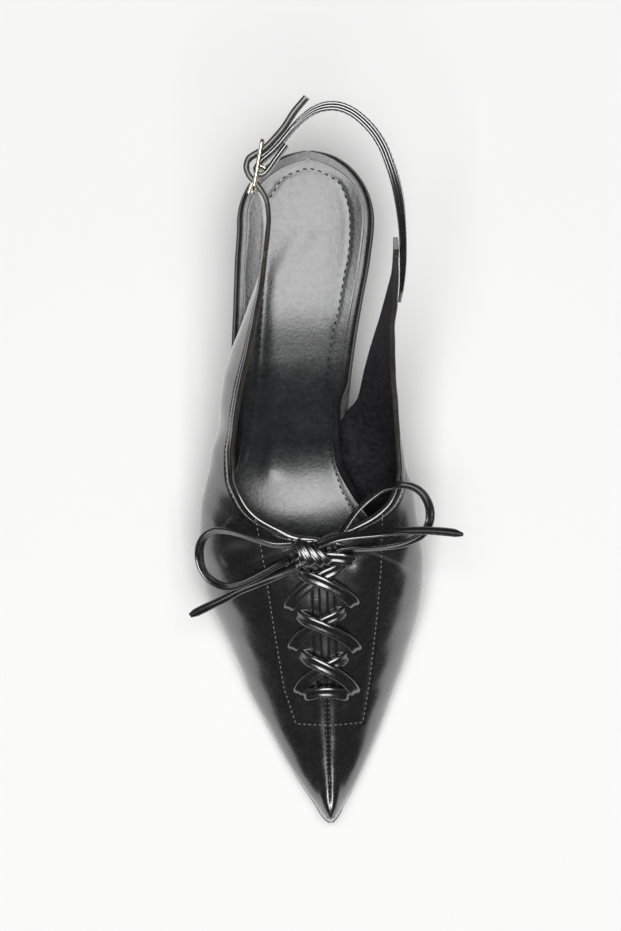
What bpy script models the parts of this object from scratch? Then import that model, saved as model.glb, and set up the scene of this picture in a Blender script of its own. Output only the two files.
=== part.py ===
"""Right slingback pump with a laced vamp, in metres.

The toe points to -Y, the medial side is +X, and the origin is the middle of the heel tip's bottom.
Along is counted from the heel's back to the toe tip, and out from the shoe's axis.
"""

import math

import bmesh
import bpy
import numpy as np
from mathutils import Vector
from mathutils.bvhtree import BVHTree

# Driving sizes
LENGTH = 0.254
BALL_WIDTH = 0.0875
SEAT_HEIGHT = 0.0532
TOE_SPRING = 0.0056
INSTEP_RISE = 0.0376
STRAP_RISE = 0.0628
HEEL_SETBACK = 0.026
CLEARANCE = 0.0003

# Sizes of the leather and the sole
UPPER_WALL = 0.0018
BINDING_WIDTH = 0.0030
BINDING_RISE = 0.0004
BINDING_START = {"lateral": 0.175, "medial": 0.235}
SLIT_GAP = 0.0028
OUTSOLE_THICKNESS = 0.0026
OUTSOLE_LEDGE = 0.0005
INSOLE_THICKNESS = 0.0028
SOCK_THICKNESS = 0.0007
SOCK_INSET = 0.0030
TONGUE_WIDTH = 0.0110
TONGUE_THICKNESS = 0.0010
TONGUE_GAP = 0.0005
SEAT_ROUND = 0.0254
TOE_ROUND = 0.0046
SOLE_STEPS = 40

# Sizes of the heel
HEEL_TIP_THICKNESS = 0.0050
HEEL_TIP_LENGTH = 0.0180
HEEL_TIP_WIDTH = 0.0172
HEEL_BREAST = 0.0460
HEEL_INSET = 0.0007

# Sizes of the strap and its buckle
STRAP_WIDTH = 0.0086
STRAP_THICKNESS = 0.0024
STRAP_LEAN = 0.17
FOLD_THICKNESS = 0.0017
BUCKLE_HEIGHT = 0.0116
BUCKLE_CORNER = 0.0014
FRAME_WIRE = 0.0014
CENTRE_BAR_WIRE = 0.0015
PRONG_WIRE = 0.0010

# Sizes of the lace
LACE_WIDTH = 0.0038
LACE_THICKNESS = 0.0015
LACE_HOLE = 0.0030
CORD_THICKNESS = 0.0022
KNOT_THICKNESS = 0.0048

# Top of the outsole from heel to toe: arch is a share of the seat's height, spring of the toe spring
SOLE_PROFILE = (
    ("along", "arch", "spring"),
    (0.000, 1.000, 0.00),
    (0.100, 0.981, 0.00),
    (0.200, 0.921, 0.00),
    (0.300, 0.790, 0.00),
    (0.400, 0.580, 0.00),
    (0.500, 0.335, 0.00),
    (0.590, 0.135, 0.00),
    (0.660, 0.032, 0.00),
    (0.710, 0.000, 0.00),
    (0.790, 0.000, 0.00),
    (0.860, 0.000, 0.20),
    (0.930, 0.000, 0.55),
    (1.000, 0.000, 1.00),
)

# The last's edge, where upper and sole meet: half widths are shares of the ball width
SOLE_OUTLINE = (
    ("along", "lateral", "medial"),
    (0.00, 0.300, 0.262),
    (0.10, 0.306, 0.265),
    (0.16, 0.322, 0.243),
    (0.22, 0.335, 0.205),
    (0.28, 0.350, 0.170),
    (0.34, 0.366, 0.143),
    (0.40, 0.386, 0.126),
    (0.45, 0.413, 0.134),
    (0.50, 0.458, 0.194),
    (0.55, 0.491, 0.294),
    (0.60, 0.510, 0.384),
    (0.64, 0.497, 0.420),
    (0.68, 0.466, 0.411),
    (0.74, 0.396, 0.364),
    (0.80, 0.334, 0.300),
    (0.86, 0.252, 0.230),
    (0.92, 0.161, 0.148),
    (0.96, 0.091, 0.085),
    (0.98, 0.054, 0.049),
    (1.00, 0.030, 0.026),
)

# The vamp's ridge from throat to toe: rise above the sole is a share of the instep's rise
VAMP_RIDGE = (
    ("along", "rise"),
    (0.400, 1.220),
    (0.500, 1.060),
    (0.567, 1.000),
    (0.650, 0.985),
    (0.730, 0.830),
    (0.807, 0.640),
    (0.886, 0.460),
    (0.945, 0.345),
    (0.985, 0.265),
    (1.000, 0.200),
)

# The slit along the ridge: its opening as a share of the widest gap
SLIT = (
    ("along", "gap"),
    (0.560, 0.80),
    (0.620, 1.00),
    (0.720, 1.00),
    (0.770, 0.55),
    (0.785, 0.00),
)

# The strap that the lateral quarter ends in, from its tip through the buckle to the quarter
BILLET = (
    ("along", "out", "climb", "lean"),
    (-0.0516, 0.0069, 0.987, 0.0),
    (-0.0323, 0.0590, 0.971, 0.0),
    (-0.0110, 0.1050, 0.949, 0.0),
    (0.0063, 0.1530, 0.930, 0.0),
    (0.0150, 0.1810, 0.920, 0.0),
    (0.0213, 0.2126, 0.911, 0.0),
    (0.0276, 0.2446, 0.904, 0.0),
    (0.0394, 0.2617, 0.892, 0.0),
    (0.0524, 0.2560, 0.879, 0.1),
    (0.0630, 0.2354, 0.868, 0.2),
    (0.0748, 0.2103, 0.855, 0.4),
    (0.0878, 0.1930, 0.838, 0.7),
    (0.1043, 0.1870, 0.809, 0.8),
    (0.1260, 0.1900, 0.763, 0.7),
    (0.1476, 0.1990, 0.713, 0.6),
)

# The tab at the end of the medial quarter
MEDIAL_TAB = (
    ("along", "out", "climb", "lean"),
    (0.1516, 0.3531, 0.720, 0.0),
    (0.1614, 0.3531, 0.694, 0.0),
)

# Quarter sections from strap to throat. A foot with no out stands on the last's edge.
# lift and climb are shares of the strap's rise, rise and drop of the section's own height, the rest as above.
SECTION_COLUMNS = (
    "foot_along", "foot_out", "lift", "top_along", "top_out", "climb", "flare", "rise", "shoulder", "drop",
)
LATERAL_QUARTER = (
    SECTION_COLUMNS,
    (0.177, 0.216, 0.568, 0.165, 0.202, 0.725, -0.002, 0.33, 0.005, 0.33),
    (0.207, 0.248, 0.461, 0.197, 0.216, 0.653, -0.005, 0.33, 0.011, 0.33),
    (0.252, 0.305, 0.335, 0.236, 0.239, 0.541, -0.009, 0.33, 0.025, 0.33),
    (0.299, 0.368, 0.214, 0.283, 0.272, 0.414, -0.009, 0.33, 0.041, 0.33),
    (0.339, 0.398, 0.145, 0.331, 0.309, 0.303, 0.014, 0.33, 0.055, 0.33),
    (0.366, 0.392, 0.081, 0.370, 0.338, 0.207, 0.050, 0.35, 0.057, 0.34),
    (0.388, None, 0.000, 0.406, 0.357, 0.135, 0.078, 0.35, 0.057, 0.36),
    (0.421, None, 0.000, 0.441, 0.368, 0.072, 0.099, 0.35, 0.091, 0.38),
    (0.465, None, 0.000, 0.474, 0.365, 0.024, 0.109, 0.36, 0.120, 0.38),
    (0.512, None, 0.000, 0.504, 0.334, -0.008, 0.109, 0.38, 0.160, 0.35),
    (0.559, None, 0.000, 0.530, 0.277, -0.019, 0.097, 0.42, 0.217, 0.28),
    (0.598, None, 0.000, 0.550, 0.181, -0.013, 0.103, 0.47, 0.274, 0.18),
    (0.630, None, 0.000, 0.562, 0.103, -0.005, 0.097, 0.50, 0.309, 0.08),
)
MEDIAL_QUARTER = (
    SECTION_COLUMNS,
    (0.185, 0.346, 0.556, 0.173, 0.353, 0.717, 0.002, 0.33, 0.002, 0.33),
    (0.213, 0.325, 0.444, 0.201, 0.351, 0.645, 0.009, 0.33, -0.007, 0.33),
    (0.244, 0.296, 0.359, 0.232, 0.345, 0.557, 0.023, 0.33, -0.009, 0.33),
    (0.283, 0.255, 0.258, 0.272, 0.331, 0.454, 0.039, 0.33, -0.009, 0.33),
    (0.323, 0.216, 0.174, 0.315, 0.331, 0.342, 0.062, 0.33, -0.009, 0.33),
    (0.358, 0.187, 0.099, 0.358, 0.336, 0.239, 0.080, 0.30, 0.000, 0.36),
    (0.386, None, 0.000, 0.398, 0.341, 0.159, 0.103, 0.25, 0.011, 0.40),
    (0.417, None, 0.000, 0.433, 0.345, 0.088, 0.137, 0.25, 0.043, 0.42),
    (0.457, None, 0.000, 0.465, 0.345, 0.040, 0.178, 0.27, 0.083, 0.42),
    (0.500, None, 0.000, 0.492, 0.331, 0.005, 0.194, 0.30, 0.149, 0.40),
    (0.539, None, 0.000, 0.516, 0.299, -0.016, 0.143, 0.34, 0.194, 0.38),
    (0.579, None, 0.000, 0.535, 0.237, -0.019, 0.108, 0.40, 0.251, 0.30),
    (0.614, None, 0.000, 0.552, 0.137, -0.011, 0.103, 0.46, 0.286, 0.18),
)

# Vamp sections from throat to nose: flare and shoulder are shares of the section's own half width
VAMP = (
    ("foot_along", "top_along", "flare", "rise", "shoulder", "drop"),
    (0.656, 0.5675, 0.23, 0.52, 0.68, 0.00),
    (0.681, 0.592, 0.22, 0.54, 0.64, 0.00),
    (0.709, 0.630, 0.20, 0.55, 0.61, 0.00),
    (0.740, 0.677, 0.18, 0.55, 0.58, 0.02),
    (0.778, 0.732, 0.16, 0.55, 0.56, 0.04),
    (0.811, 0.785, 0.14, 0.55, 0.54, 0.06),
    (0.843, 0.822, 0.13, 0.55, 0.52, 0.08),
    (0.878, 0.862, 0.12, 0.55, 0.50, 0.10),
    (0.913, 0.903, 0.12, 0.53, 0.48, 0.12),
    (0.948, 0.942, 0.12, 0.52, 0.46, 0.12),
    (0.972, 0.967, 0.12, 0.52, 0.45, 0.10),
    (0.989, 0.983, 0.12, 0.52, 0.45, 0.08),
    (0.9975, 0.991, 0.12, 0.52, 0.45, 0.05),
    (1.000, 0.994, 0.00, 0.50, 0.00, 0.40),
)

# The lace's holes, the pair at the toe first
LACE_HOLES = (
    ("lateral_along", "lateral_out", "medial_along", "medial_out"),
    (0.804, 0.112, 0.807, 0.109),
    (0.736, 0.131, 0.741, 0.123),
    (0.676, 0.141, 0.672, 0.120),
    (0.611, 0.130, 0.602, 0.127),
)

# The heel's levels from its tip to the seat: back, breast and half widths run from the tip's to the seat's
HEEL_LEVELS = (
    ("height", "back", "breast", "width"),
    (0.00, 0.00, 0.00, 0.00),
    (0.20, 0.10, -0.05, 0.01),
    (0.40, 0.29, 0.00, 0.07),
    (0.60, 0.53, 0.12, 0.22),
    (0.80, 0.81, 0.42, 0.55),
    (0.92, 0.95, 0.76, 0.85),
    (1.00, 1.00, 1.00, 1.00),
)

# The strap from its stitched end on the medial tab, round the back, to the buckle's centre bar
SLINGBACK = (
    ("along", "out", "climb", "thickness", "lean"),
    (0.2264, 0.3560, 0.486, 0.50, 0.0),
    (0.2087, 0.3640, 0.535, 0.65, 0.0),
    (0.1890, 0.3690, 0.586, 0.85, 0.0),
    (0.1693, 0.3715, 0.637, 1.00, 0.0),
    (0.1496, 0.3720, 0.688, 1.00, 0.1),
    (0.1220, 0.3690, 0.755, 1.00, 0.5),
    (0.0906, 0.3600, 0.818, 1.00, 1.0),
    (0.0630, 0.3429, 0.863, 1.00, 1.0),
    (0.0413, 0.3234, 0.890, 1.00, 1.0),
    (0.0197, 0.2994, 0.908, 1.00, 1.0),
    (0.0000, 0.2651, 0.920, 1.00, 1.0),
    (-0.0157, 0.2251, 0.927, 1.00, 1.0),
    (-0.0287, 0.1783, 0.932, 1.00, 1.0),
    (-0.0362, 0.1280, 0.933, 1.00, 1.0),
    (-0.0370, 0.0754, 0.933, 1.00, 0.9),
    (-0.0315, 0.0251, 0.932, 0.90, 0.6),
    (-0.0197, -0.0251, 0.926, 0.80, 0.3),
    (-0.0059, -0.0670, 0.916, 0.72, 0.1),
    (0.0091, -0.1060, 0.904, 0.70, 0.0),
    (0.0217, -0.1430, 0.894, 0.70, 0.0),
)
FOLD_END = (0.0142, -0.0880, 0.898)

# The buckle: its two end bars and its centre bar, in plan, and the height of its middle at each
BUCKLE_BACK = (0.0075, -0.1830, 0.928)
BUCKLE_FRONT = (0.0768, -0.2274, 0.858)
CENTRE_BAR = (0.0472, -0.1931, 0.890)

# The bow's cords, each a route of points in millimetres: across, along the floor, up
LACE_KNOT_ROUTE = (
    (-10.0, -122.1, 50.5), (-7.0, -121.9, 50.7), (-4.1, -122.7, 50.9), (-1.1, -123.5, 50.7),
    (1.8, -124.0, 50.3),
)
LATERAL_LOOP_ROUTE = (
    (-11.4, -119.4, 52.6), (-14.3, -119.5, 53.0), (-17.3, -119.4, 53.0), (-22.1, -118.0, 52.4),
    (-26.5, -116.4, 51.4), (-30.9, -114.8, 49.9), (-35.7, -113.6, 47.6), (-40.3, -113.5, 44.6),
    (-43.5, -115.3, 41.6), (-45.5, -118.6, 39.2), (-46.1, -122.8, 37.4), (-45.5, -127.0, 36.5),
    (-43.4, -130.8, 36.4), (-40.1, -133.5, 37.2), (-35.6, -134.9, 38.8), (-31.0, -134.0, 41.0),
    (-26.4, -132.2, 43.2), (-21.4, -129.7, 45.5), (-16.5, -127.2, 47.7), (-12.6, -125.6, 49.2),
)
LATERAL_TAIL_ROUTE = (
    (-9.1, -128.2, 48.1), (-14.0, -130.0, 46.2), (-19.7, -132.1, 43.1), (-25.4, -134.2, 40.6),
    (-31.2, -136.4, 37.5), (-37.0, -139.3, 34.6), (-42.8, -141.9, 32.0), (-46.7, -143.7, 30.4),
    (-50.6, -145.5, 28.8),
)
MEDIAL_LOOP_ROUTE = (
    (4.2, -118.9, 51.4), (6.1, -117.1, 51.8), (8.1, -114.8, 52.3), (10.8, -111.0, 53.1),
    (13.5, -107.7, 53.5), (16.5, -104.9, 53.6), (19.6, -102.4, 53.5), (23.4, -99.9, 53.1),
    (27.1, -99.0, 52.5), (30.9, -98.7, 51.5), (34.6, -99.6, 50.2), (37.6, -101.6, 48.6),
    (39.7, -104.7, 47.0), (40.8, -108.4, 45.6), (40.7, -112.2, 44.5), (39.4, -115.5, 43.8),
    (37.1, -118.0, 43.6), (33.7, -119.7, 44.0), (29.1, -121.1, 45.0), (23.5, -121.8, 45.9),
    (17.9, -122.1, 47.1), (12.3, -122.0, 48.7), (7.4, -122.4, 49.6), (5.4, -123.0, 50.0),
)
MEDIAL_TAIL_ROUTE = (
    (-1.3, -119.7, 53.3), (5.0, -117.6, 54.6), (10.5, -116.8, 54.9), (17.9, -116.4, 54.5),
    (25.4, -115.9, 53.4), (32.9, -115.8, 51.9), (40.3, -116.1, 50.2), (45.9, -116.7, 48.9),
    (49.7, -117.3, 48.0), (52.7, -118.1, 47.4),
)

BLACK_LEATHER = (0.012, 0.012, 0.013)
LINING_LEATHER = (0.022, 0.021, 0.024)
SOCK_LEATHER = (0.045, 0.047, 0.052)
PALE_GOLD = (0.80, 0.74, 0.62)


def column(table, name):
    """One named column of a table, as numbers."""
    place = table[0].index(name)
    return np.array([row[place] for row in table[1:]], float)


def slopes(x, y):
    """Slopes at a curve's points that keep it from rising past its own points."""
    step = np.diff(x)
    grade = np.diff(y) / step
    out = np.concatenate([[grade[0]], np.zeros(len(x) - 2), [grade[-1]]])
    for i in range(1, len(x) - 1):
        if grade[i - 1] * grade[i] > 0:
            before = 2 * step[i] + step[i - 1]
            after = step[i] + 2 * step[i - 1]
            out[i] = (before + after) / (before / grade[i - 1] + after / grade[i])
    return out


def smooth(x, y, at):
    """The smooth curve through points x, y, read at some places."""
    x = np.asarray(x, float)
    y = np.asarray(y, float)
    at = np.clip(np.asarray(at, float), x[0], x[-1])
    m = slopes(x, y)
    i = np.clip(np.searchsorted(x, at, side="right") - 1, 0, len(x) - 2)
    h = x[i + 1] - x[i]
    t = (at - x[i]) / h
    start = (1 + 2 * t) * (1 - t) ** 2 * y[i] + t * (1 - t) ** 2 * h * m[i]
    end = t * t * (3 - 2 * t) * y[i + 1] + t * t * (t - 1) * h * m[i + 1]
    return start + end


def read(table, name, at):
    """A table's column as a smooth curve along the shoe, at a distance from the heel's back."""
    return smooth(column(table, table[0][0]), column(table, name), np.asarray(at) / LENGTH)


def sole_top(d):
    """Height of the outsole's top face at a distance from the heel's back."""
    arch = read(SOLE_PROFILE, "arch", d) * (SEAT_HEIGHT - OUTSOLE_THICKNESS)
    return OUTSOLE_THICKNESS + arch + read(SOLE_PROFILE, "spring", d) * TOE_SPRING


def round_end(distance, radius):
    """How much of its full width a round end has at a distance from its tip."""
    t = np.clip(1 - np.asarray(distance) / radius, 0, 1)
    return np.sqrt(1 - t * t)


def outline(d, side):
    """Half width of the last's edge on one side."""
    half = read(SOLE_OUTLINE, side, d) * BALL_WIDTH
    return half * round_end(d, SEAT_ROUND) * round_end(LENGTH - np.asarray(d), TOE_ROUND)


def ridge(d):
    """Height of the vamp's ridge."""
    return sole_top(d) + read(VAMP_RIDGE, "rise", d) * INSTEP_RISE


def throat_height():
    return float(ridge(column(VAMP, "top_along")[0] * LENGTH))


def sign(side):
    return -1 if side == "lateral" else 1


def place(d, x, z):
    """A point of the shoe from its distance along, its place across and its height."""
    return np.stack(np.broadcast_arrays(x, HEEL_SETBACK - np.asarray(d), z), axis=-1)


def path_of(table, side):
    """A strap's middle line from its table, in the shoe's frame."""
    d = column(table, "along") * LENGTH
    x = column(table, "out") * BALL_WIDTH * sign(side)
    z = throat_height() + column(table, "climb") * STRAP_RISE
    return place(d, x, z)


def directions(points):
    """Unit tangents along a line of points."""
    tangent = np.gradient(points, axis=0)
    return tangent / np.linalg.norm(tangent, axis=1, keepdims=True)


def upright(tangent, lean):
    """The direction across a strap on its edge, whose top leans in over the foot by shares of the lean."""
    up = np.array([0.0, 0.0, 1.0]) - tangent[:, 2:3] * tangent
    up /= np.linalg.norm(up, axis=1, keepdims=True)
    angle = np.asarray(lean)[:, None] * STRAP_LEAN
    return np.cos(angle) * up - np.sin(angle) * np.cross(tangent, up)


def strap_rows(table, side):
    """Section rows of a strap that belongs to the upper: each row is one straight line."""
    line = path_of(table, side)
    up = upright(directions(line), column(table, "lean")) * STRAP_WIDTH
    return [tuple(p + up_here * share for share in (-0.5, -0.17, 0.17, 0.5)) for p, up_here in zip(line, up)]


def quarter_rows(table, side):
    """Section rows of a quarter, as foot, two handles and top."""
    rows = []
    base = throat_height()
    for row in table[1:]:
        v = dict(zip(table[0], row))
        foot_d = v["foot_along"] * LENGTH
        top_d = v["top_along"] * LENGTH
        floor = float(sole_top(foot_d)) + CLEARANCE
        on_edge = v["foot_out"] is None
        foot_out = float(outline(foot_d, side)) if on_edge else v["foot_out"] * BALL_WIDTH
        foot_z = floor + v["lift"] * STRAP_RISE
        top_out = v["top_out"] * BALL_WIDTH
        top_z = base + v["climb"] * STRAP_RISE
        rise = top_z - foot_z
        near = foot_d + 0.2 * (top_d - foot_d)
        far = top_d + 0.3 * (foot_d - top_d)
        dip = float(ridge(far) - ridge(top_d)) if on_edge else 0.0
        rows.append((
            place(foot_d, sign(side) * foot_out, foot_z),
            place(near, sign(side) * (foot_out + v["flare"] * BALL_WIDTH), foot_z + v["rise"] * rise),
            place(far, sign(side) * (top_out + v["shoulder"] * BALL_WIDTH), top_z + dip - v["drop"] * rise),
            place(top_d, sign(side) * top_out, top_z),
        ))
    return rows


def vamp_rows(side):
    """Section rows of the vamp, whose tops lie on the slit's edge or on the seam."""
    rows = []
    for row in VAMP[1:]:
        v = dict(zip(VAMP[0], row))
        foot_d = v["foot_along"] * LENGTH
        top_d = v["top_along"] * LENGTH
        foot_z = float(sole_top(foot_d)) + CLEARANCE
        top_z = float(ridge(top_d))
        half = float(outline(foot_d, side)) if foot_d < LENGTH else 0.0
        near = foot_d + 0.2 * (top_d - foot_d)
        far = top_d + 0.3 * (foot_d - top_d)
        rise = top_z - foot_z
        rows.append((
            place(foot_d, sign(side) * half, foot_z),
            place(near, sign(side) * half * (1 + v["flare"]), foot_z + v["rise"] * rise),
            place(far, sign(side) * half * v["shoulder"], float(ridge(far)) - v["drop"] * rise),
            place(top_d, 0.0, top_z),
        ))
    return rows


def slit_half_gap(d):
    table_d = column(SLIT, "along") * LENGTH
    gap = smooth(table_d, column(SLIT, "gap"), d) * SLIT_GAP / 2
    return np.where(np.asarray(d) < table_d[-1] - 1e-6, gap, 0.0)


def stations(counts):
    """Places along rows, with so many steps from each row to the next."""
    out = []
    for i, n in enumerate(counts):
        out += [i + j / n for j in range(n)]
    return np.array(out + [float(len(counts))])


def side_surface(side, strap_steps, quarter_steps, vamp_steps, shares):
    """One half of the upper's outer surface as a grid: stations along, shares of the girth across.

    Returns the points, each one's distance from its top edge, and the stations where the slit begins and ends.
    """
    strap = strap_rows(BILLET, "lateral") if side == "lateral" else strap_rows(MEDIAL_TAB, "medial")
    table = LATERAL_QUARTER if side == "lateral" else MEDIAL_QUARTER
    quarter = quarter_rows(table, side)
    rows = strap + quarter + vamp_rows(side)
    first_closed = len(strap) + [row[1] is None for row in table[1:]].index(True)
    throat = len(strap) + len(quarter)
    steps = [strap_steps] * len(strap) + [quarter_steps] * len(quarter)
    steps += [vamp_steps] * (len(rows) - throat - 1)
    at = stations(steps)
    index = np.arange(len(rows))
    handles = np.array(rows)
    made = np.zeros((4, len(at), 3))
    for k in range(4):
        for axis in range(3):
            made[k, :, axis] = smooth(index, handles[:, k, axis], at)
    foot, top = made[0], made[3]
    closed = at >= first_closed - 1e-9
    foot_d = np.minimum(HEEL_SETBACK - foot[:, 1], LENGTH)
    foot[closed, 0] = (sign(side) * outline(foot_d, side))[closed]
    foot[closed, 2] = (sole_top(foot_d) + CLEARANCE)[closed]
    on_ridge = at >= throat - 1e-9
    top_d = HEEL_SETBACK - top[:, 1]
    top[on_ridge, 0] = (sign(side) * slit_half_gap(top_d))[on_ridge]
    top[on_ridge, 2] = ridge(top_d)[on_ridge]
    grid = []
    to_top = []
    for i in range(len(at)):
        line, left = section_points(made[:, i], shares, on_ridge[i])
        grid.append(line)
        to_top.append(left)
    slit_end = int(np.argmax(on_ridge & (np.abs(top[:, 0]) < 1e-9)))
    return np.array(grid), np.array(to_top), int(np.argmax(on_ridge)), slit_end, closed


def section_points(handles, shares, on_ridge):
    """Points along one section from foot to top: even shares up to the binding, then its step and edge."""
    t = np.linspace(0, 1, 60)[:, None]
    p0, p1, p2, p3 = handles
    curve = (1 - t) ** 3 * p0 + 3 * (1 - t) ** 2 * t * p1 + 3 * (1 - t) * t * t * p2 + t**3 * p3
    run = np.concatenate([[0], np.cumsum(np.linalg.norm(np.diff(curve, axis=0), axis=1))])
    whole = run[-1]
    binding = min(BINDING_WIDTH, 0.4 * whole)
    places = np.concatenate([np.asarray(shares) * (whole - binding), [whole - binding + 0.0003, whole]])
    line = np.stack([np.interp(places, run, curve[:, k]) for k in range(3)], axis=-1)
    return line, whole - places


def grid_normals(grid, side):
    along = np.gradient(grid, axis=0)
    across = np.gradient(grid, axis=1)
    normal = np.cross(along, across) * -sign(side)
    return normal / np.maximum(np.linalg.norm(normal, axis=2, keepdims=True), 1e-12)


def upper_grids(strap_steps, quarter_steps, vamp_steps, shares):
    """Outer and inner grids of both halves, which share their points on the seam and the nose."""
    halves = {}
    for side in ("lateral", "medial"):
        steps = (strap_steps, quarter_steps, vamp_steps)
        grid, to_top, throat, slit_end, closed = side_surface(side, *steps, shares)
        halves[side] = dict(
            grid=grid,
            to_top=to_top,
            throat=throat,
            slit_end=slit_end,
            closed=closed,
            normal=grid_normals(grid, side),
        )
    left, right = halves["lateral"], halves["medial"]
    seam = len(left["grid"]) - left["slit_end"]
    shared = (left["normal"][-seam:, -1] + right["normal"][-seam:, -1]) / 2
    up_nose = np.gradient(left["grid"][-1], axis=0)
    nose = np.stack([0 * up_nose[:, 0], -up_nose[:, 2], up_nose[:, 1]], axis=-1)
    for side, half in halves.items():
        half["normal"][-seam:, -1] = shared
        half["normal"][-1] = nose
        normal = half["normal"]
        normal /= np.linalg.norm(normal, axis=2, keepdims=True)
        half["inner"] = half["grid"] - offset_inward(half)
        rise = np.zeros(half["grid"].shape[:2])
        top_d = HEEL_SETBACK - half["grid"][:, -1, 1]
        bound = (top_d > BINDING_START[side] * LENGTH) & (np.arange(len(top_d)) < half["throat"])
        rise[bound, -2:] = BINDING_RISE
        half["outer"] = half["grid"] + normal * rise[:, :, None]
    return halves


def offset_inward(half):
    """The step from the outer to the inner surface, level along the edge that stands on the sole."""
    normal = half["normal"].copy()
    level = normal.copy()
    level[:, :, 2] = 0
    level /= np.linalg.norm(level, axis=2, keepdims=True)
    share = np.zeros(normal.shape[:2])
    share[half["closed"], 0] = 1.0
    direction = normal + (level - normal) * share[:, :, None]
    direction /= np.linalg.norm(direction, axis=2, keepdims=True)
    reach = UPPER_WALL / np.maximum((direction * normal).sum(axis=2, keepdims=True), 0.5)
    step = direction * reach
    foot = half["grid"][:, 0] - step[:, 0]
    d = HEEL_SETBACK - foot[:, 1]
    closed = half["closed"]
    step[closed, 0, 2] = (half["grid"][:, 0, 2] - sole_top(d) - CLEARANCE)[closed]
    return step


def new_object(name, vertices, faces, colour=BLACK_LEATHER, roughness=0.3, metallic=0.0):
    """A named object from points and faces, with its own material."""
    mesh = bpy.data.meshes.new(name)
    mesh.from_pydata([tuple(v) for v in vertices], [], [tuple(f) for f in faces])
    mesh.validate()
    work = bmesh.new()
    work.from_mesh(mesh)
    bmesh.ops.remove_doubles(work, verts=work.verts, dist=1e-6)
    bmesh.ops.dissolve_degenerate(work, edges=work.edges, dist=1e-7)
    bmesh.ops.recalc_face_normals(work, faces=work.faces)
    bmesh.ops.triangulate(work, faces=work.faces)
    work.to_mesh(mesh)
    work.free()
    mesh.shade_smooth()
    mesh.set_sharp_from_angle(angle=math.radians(40))
    made = bpy.data.objects.new(name, mesh)
    bpy.context.scene.collection.objects.link(made)
    mesh.materials.append(material(name, colour, roughness, metallic))
    return made


def material(name, colour, roughness, metallic):
    made = bpy.data.materials.new(name)
    made.use_nodes = True
    shader = made.node_tree.nodes["Principled BSDF"]
    shader.inputs["Base Color"].default_value = (*colour, 1)
    shader.inputs["Roughness"].default_value = roughness
    shader.inputs["Metallic"].default_value = metallic
    return made


def cutter(made):
    made.hide_render = True
    made.display_type = "WIRE"
    return made


def boolean(target, tool, operation):
    change = target.modifiers.new(tool.name, "BOOLEAN")
    change.operation = operation
    change.solver = "EXACT"
    change.object = cutter(tool)


def shell_faces(count_along, count_across, start, flip):
    """Faces of a grid of points, numbered from start."""
    faces = []
    for i in range(count_along - 1):
        for j in range(count_across - 1):
            a = start + i * count_across + j
            quad = (a, a + count_across, a + count_across + 1, a + 1)
            faces.append(quad[::-1] if flip else quad)
    return faces


def rim_faces(outer, inner, flip):
    """Faces that close the gap between two lines of points."""
    faces = []
    for i in range(len(outer) - 1):
        quad = (outer[i], outer[i + 1], inner[i + 1], inner[i])
        faces.append(quad[::-1] if flip else quad)
    return faces


def upper_mesh(halves):
    """Points and faces of the whole upper: two surfaces a wall apart, closed along every free edge."""
    points = []
    faces = []
    for side, half in halves.items():
        n, m = half["grid"].shape[:2]
        outer = len(points)
        points += list(half["outer"].reshape(-1, 3))
        inner = len(points)
        points += list(half["inner"].reshape(-1, 3))
        flip = side == "medial"
        faces += shell_faces(n, m, outer, flip)
        faces += shell_faces(n, m, inner, not flip)
        foot = [i * m for i in range(n)]
        top = [i * m + m - 1 for i in range(half["slit_end"] + 1)]
        end = list(range(m))
        faces += rim_faces([outer + i for i in foot], [inner + i for i in foot], not flip)
        faces += rim_faces([outer + i for i in top], [inner + i for i in top], flip)
        faces += rim_faces([outer + i for i in end], [inner + i for i in end], flip)
    return points, faces


def surface_tree(halves, which):
    """The upper's outer or inner surface, for finding what lies under a point."""
    points = []
    faces = []
    for half in halves.values():
        n, m = half["grid"].shape[:2]
        faces += shell_faces(n, m, len(points), False)
        points += [Vector(p) for p in half[which].reshape(-1, 3)]
    return BVHTree.FromPolygons(points, faces)


def on_upper(tree, d, x):
    """The upper's surface straight below a place, and its normal turned upwards."""
    point, normal, _, _ = tree.ray_cast(Vector((x, HEEL_SETBACK - d, 1.0)), Vector((0, 0, -1)))
    if point is None:
        point, normal, _, _ = tree.find_nearest(Vector((x, HEEL_SETBACK - d, throat_height())))
    if normal.z < 0:
        normal = -normal
    return np.array(point), np.array(normal)


def tube(name, line, radius, sides=8, closed=False, **looks):
    """A round bar along a line of points."""
    line = np.asarray(line, float)
    if closed:
        around = np.vstack([line[-1:], line, line[:1]])
        tangent = directions(around)[1:-1]
    else:
        tangent = directions(line)
    side_way = np.cross(tangent[0], [0.0, 0.0, 1.0])
    if np.linalg.norm(side_way) < 0.1:
        side_way = np.cross(tangent[0], [1.0, 0.0, 0.0])
    points = []
    for p, t in zip(line, tangent):
        side_way = side_way - t * side_way.dot(t)
        side_way /= np.linalg.norm(side_way)
        other = np.cross(t, side_way)
        for k in range(sides):
            turn = 2 * math.pi * k / sides
            points.append(p + radius * (math.cos(turn) * side_way + math.sin(turn) * other))
    faces = ring_faces(len(line), sides, closed)
    return new_object(name, points, faces, **looks)


def ring_faces(count, sides, closed=False):
    """Faces of rings of points joined one to the next, with caps unless the rings close on themselves."""
    faces = []
    for i in range(count if closed else count - 1):
        for k in range(sides):
            a = i * sides + k
            b = i * sides + (k + 1) % sides
            c = ((i + 1) % count) * sides + (k + 1) % sides
            d = ((i + 1) % count) * sides + k
            faces.append((a, b, c, d))
    if not closed:
        faces.append(tuple(range(sides))[::-1])
        faces.append(tuple(range((count - 1) * sides, count * sides)))
    return faces


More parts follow.
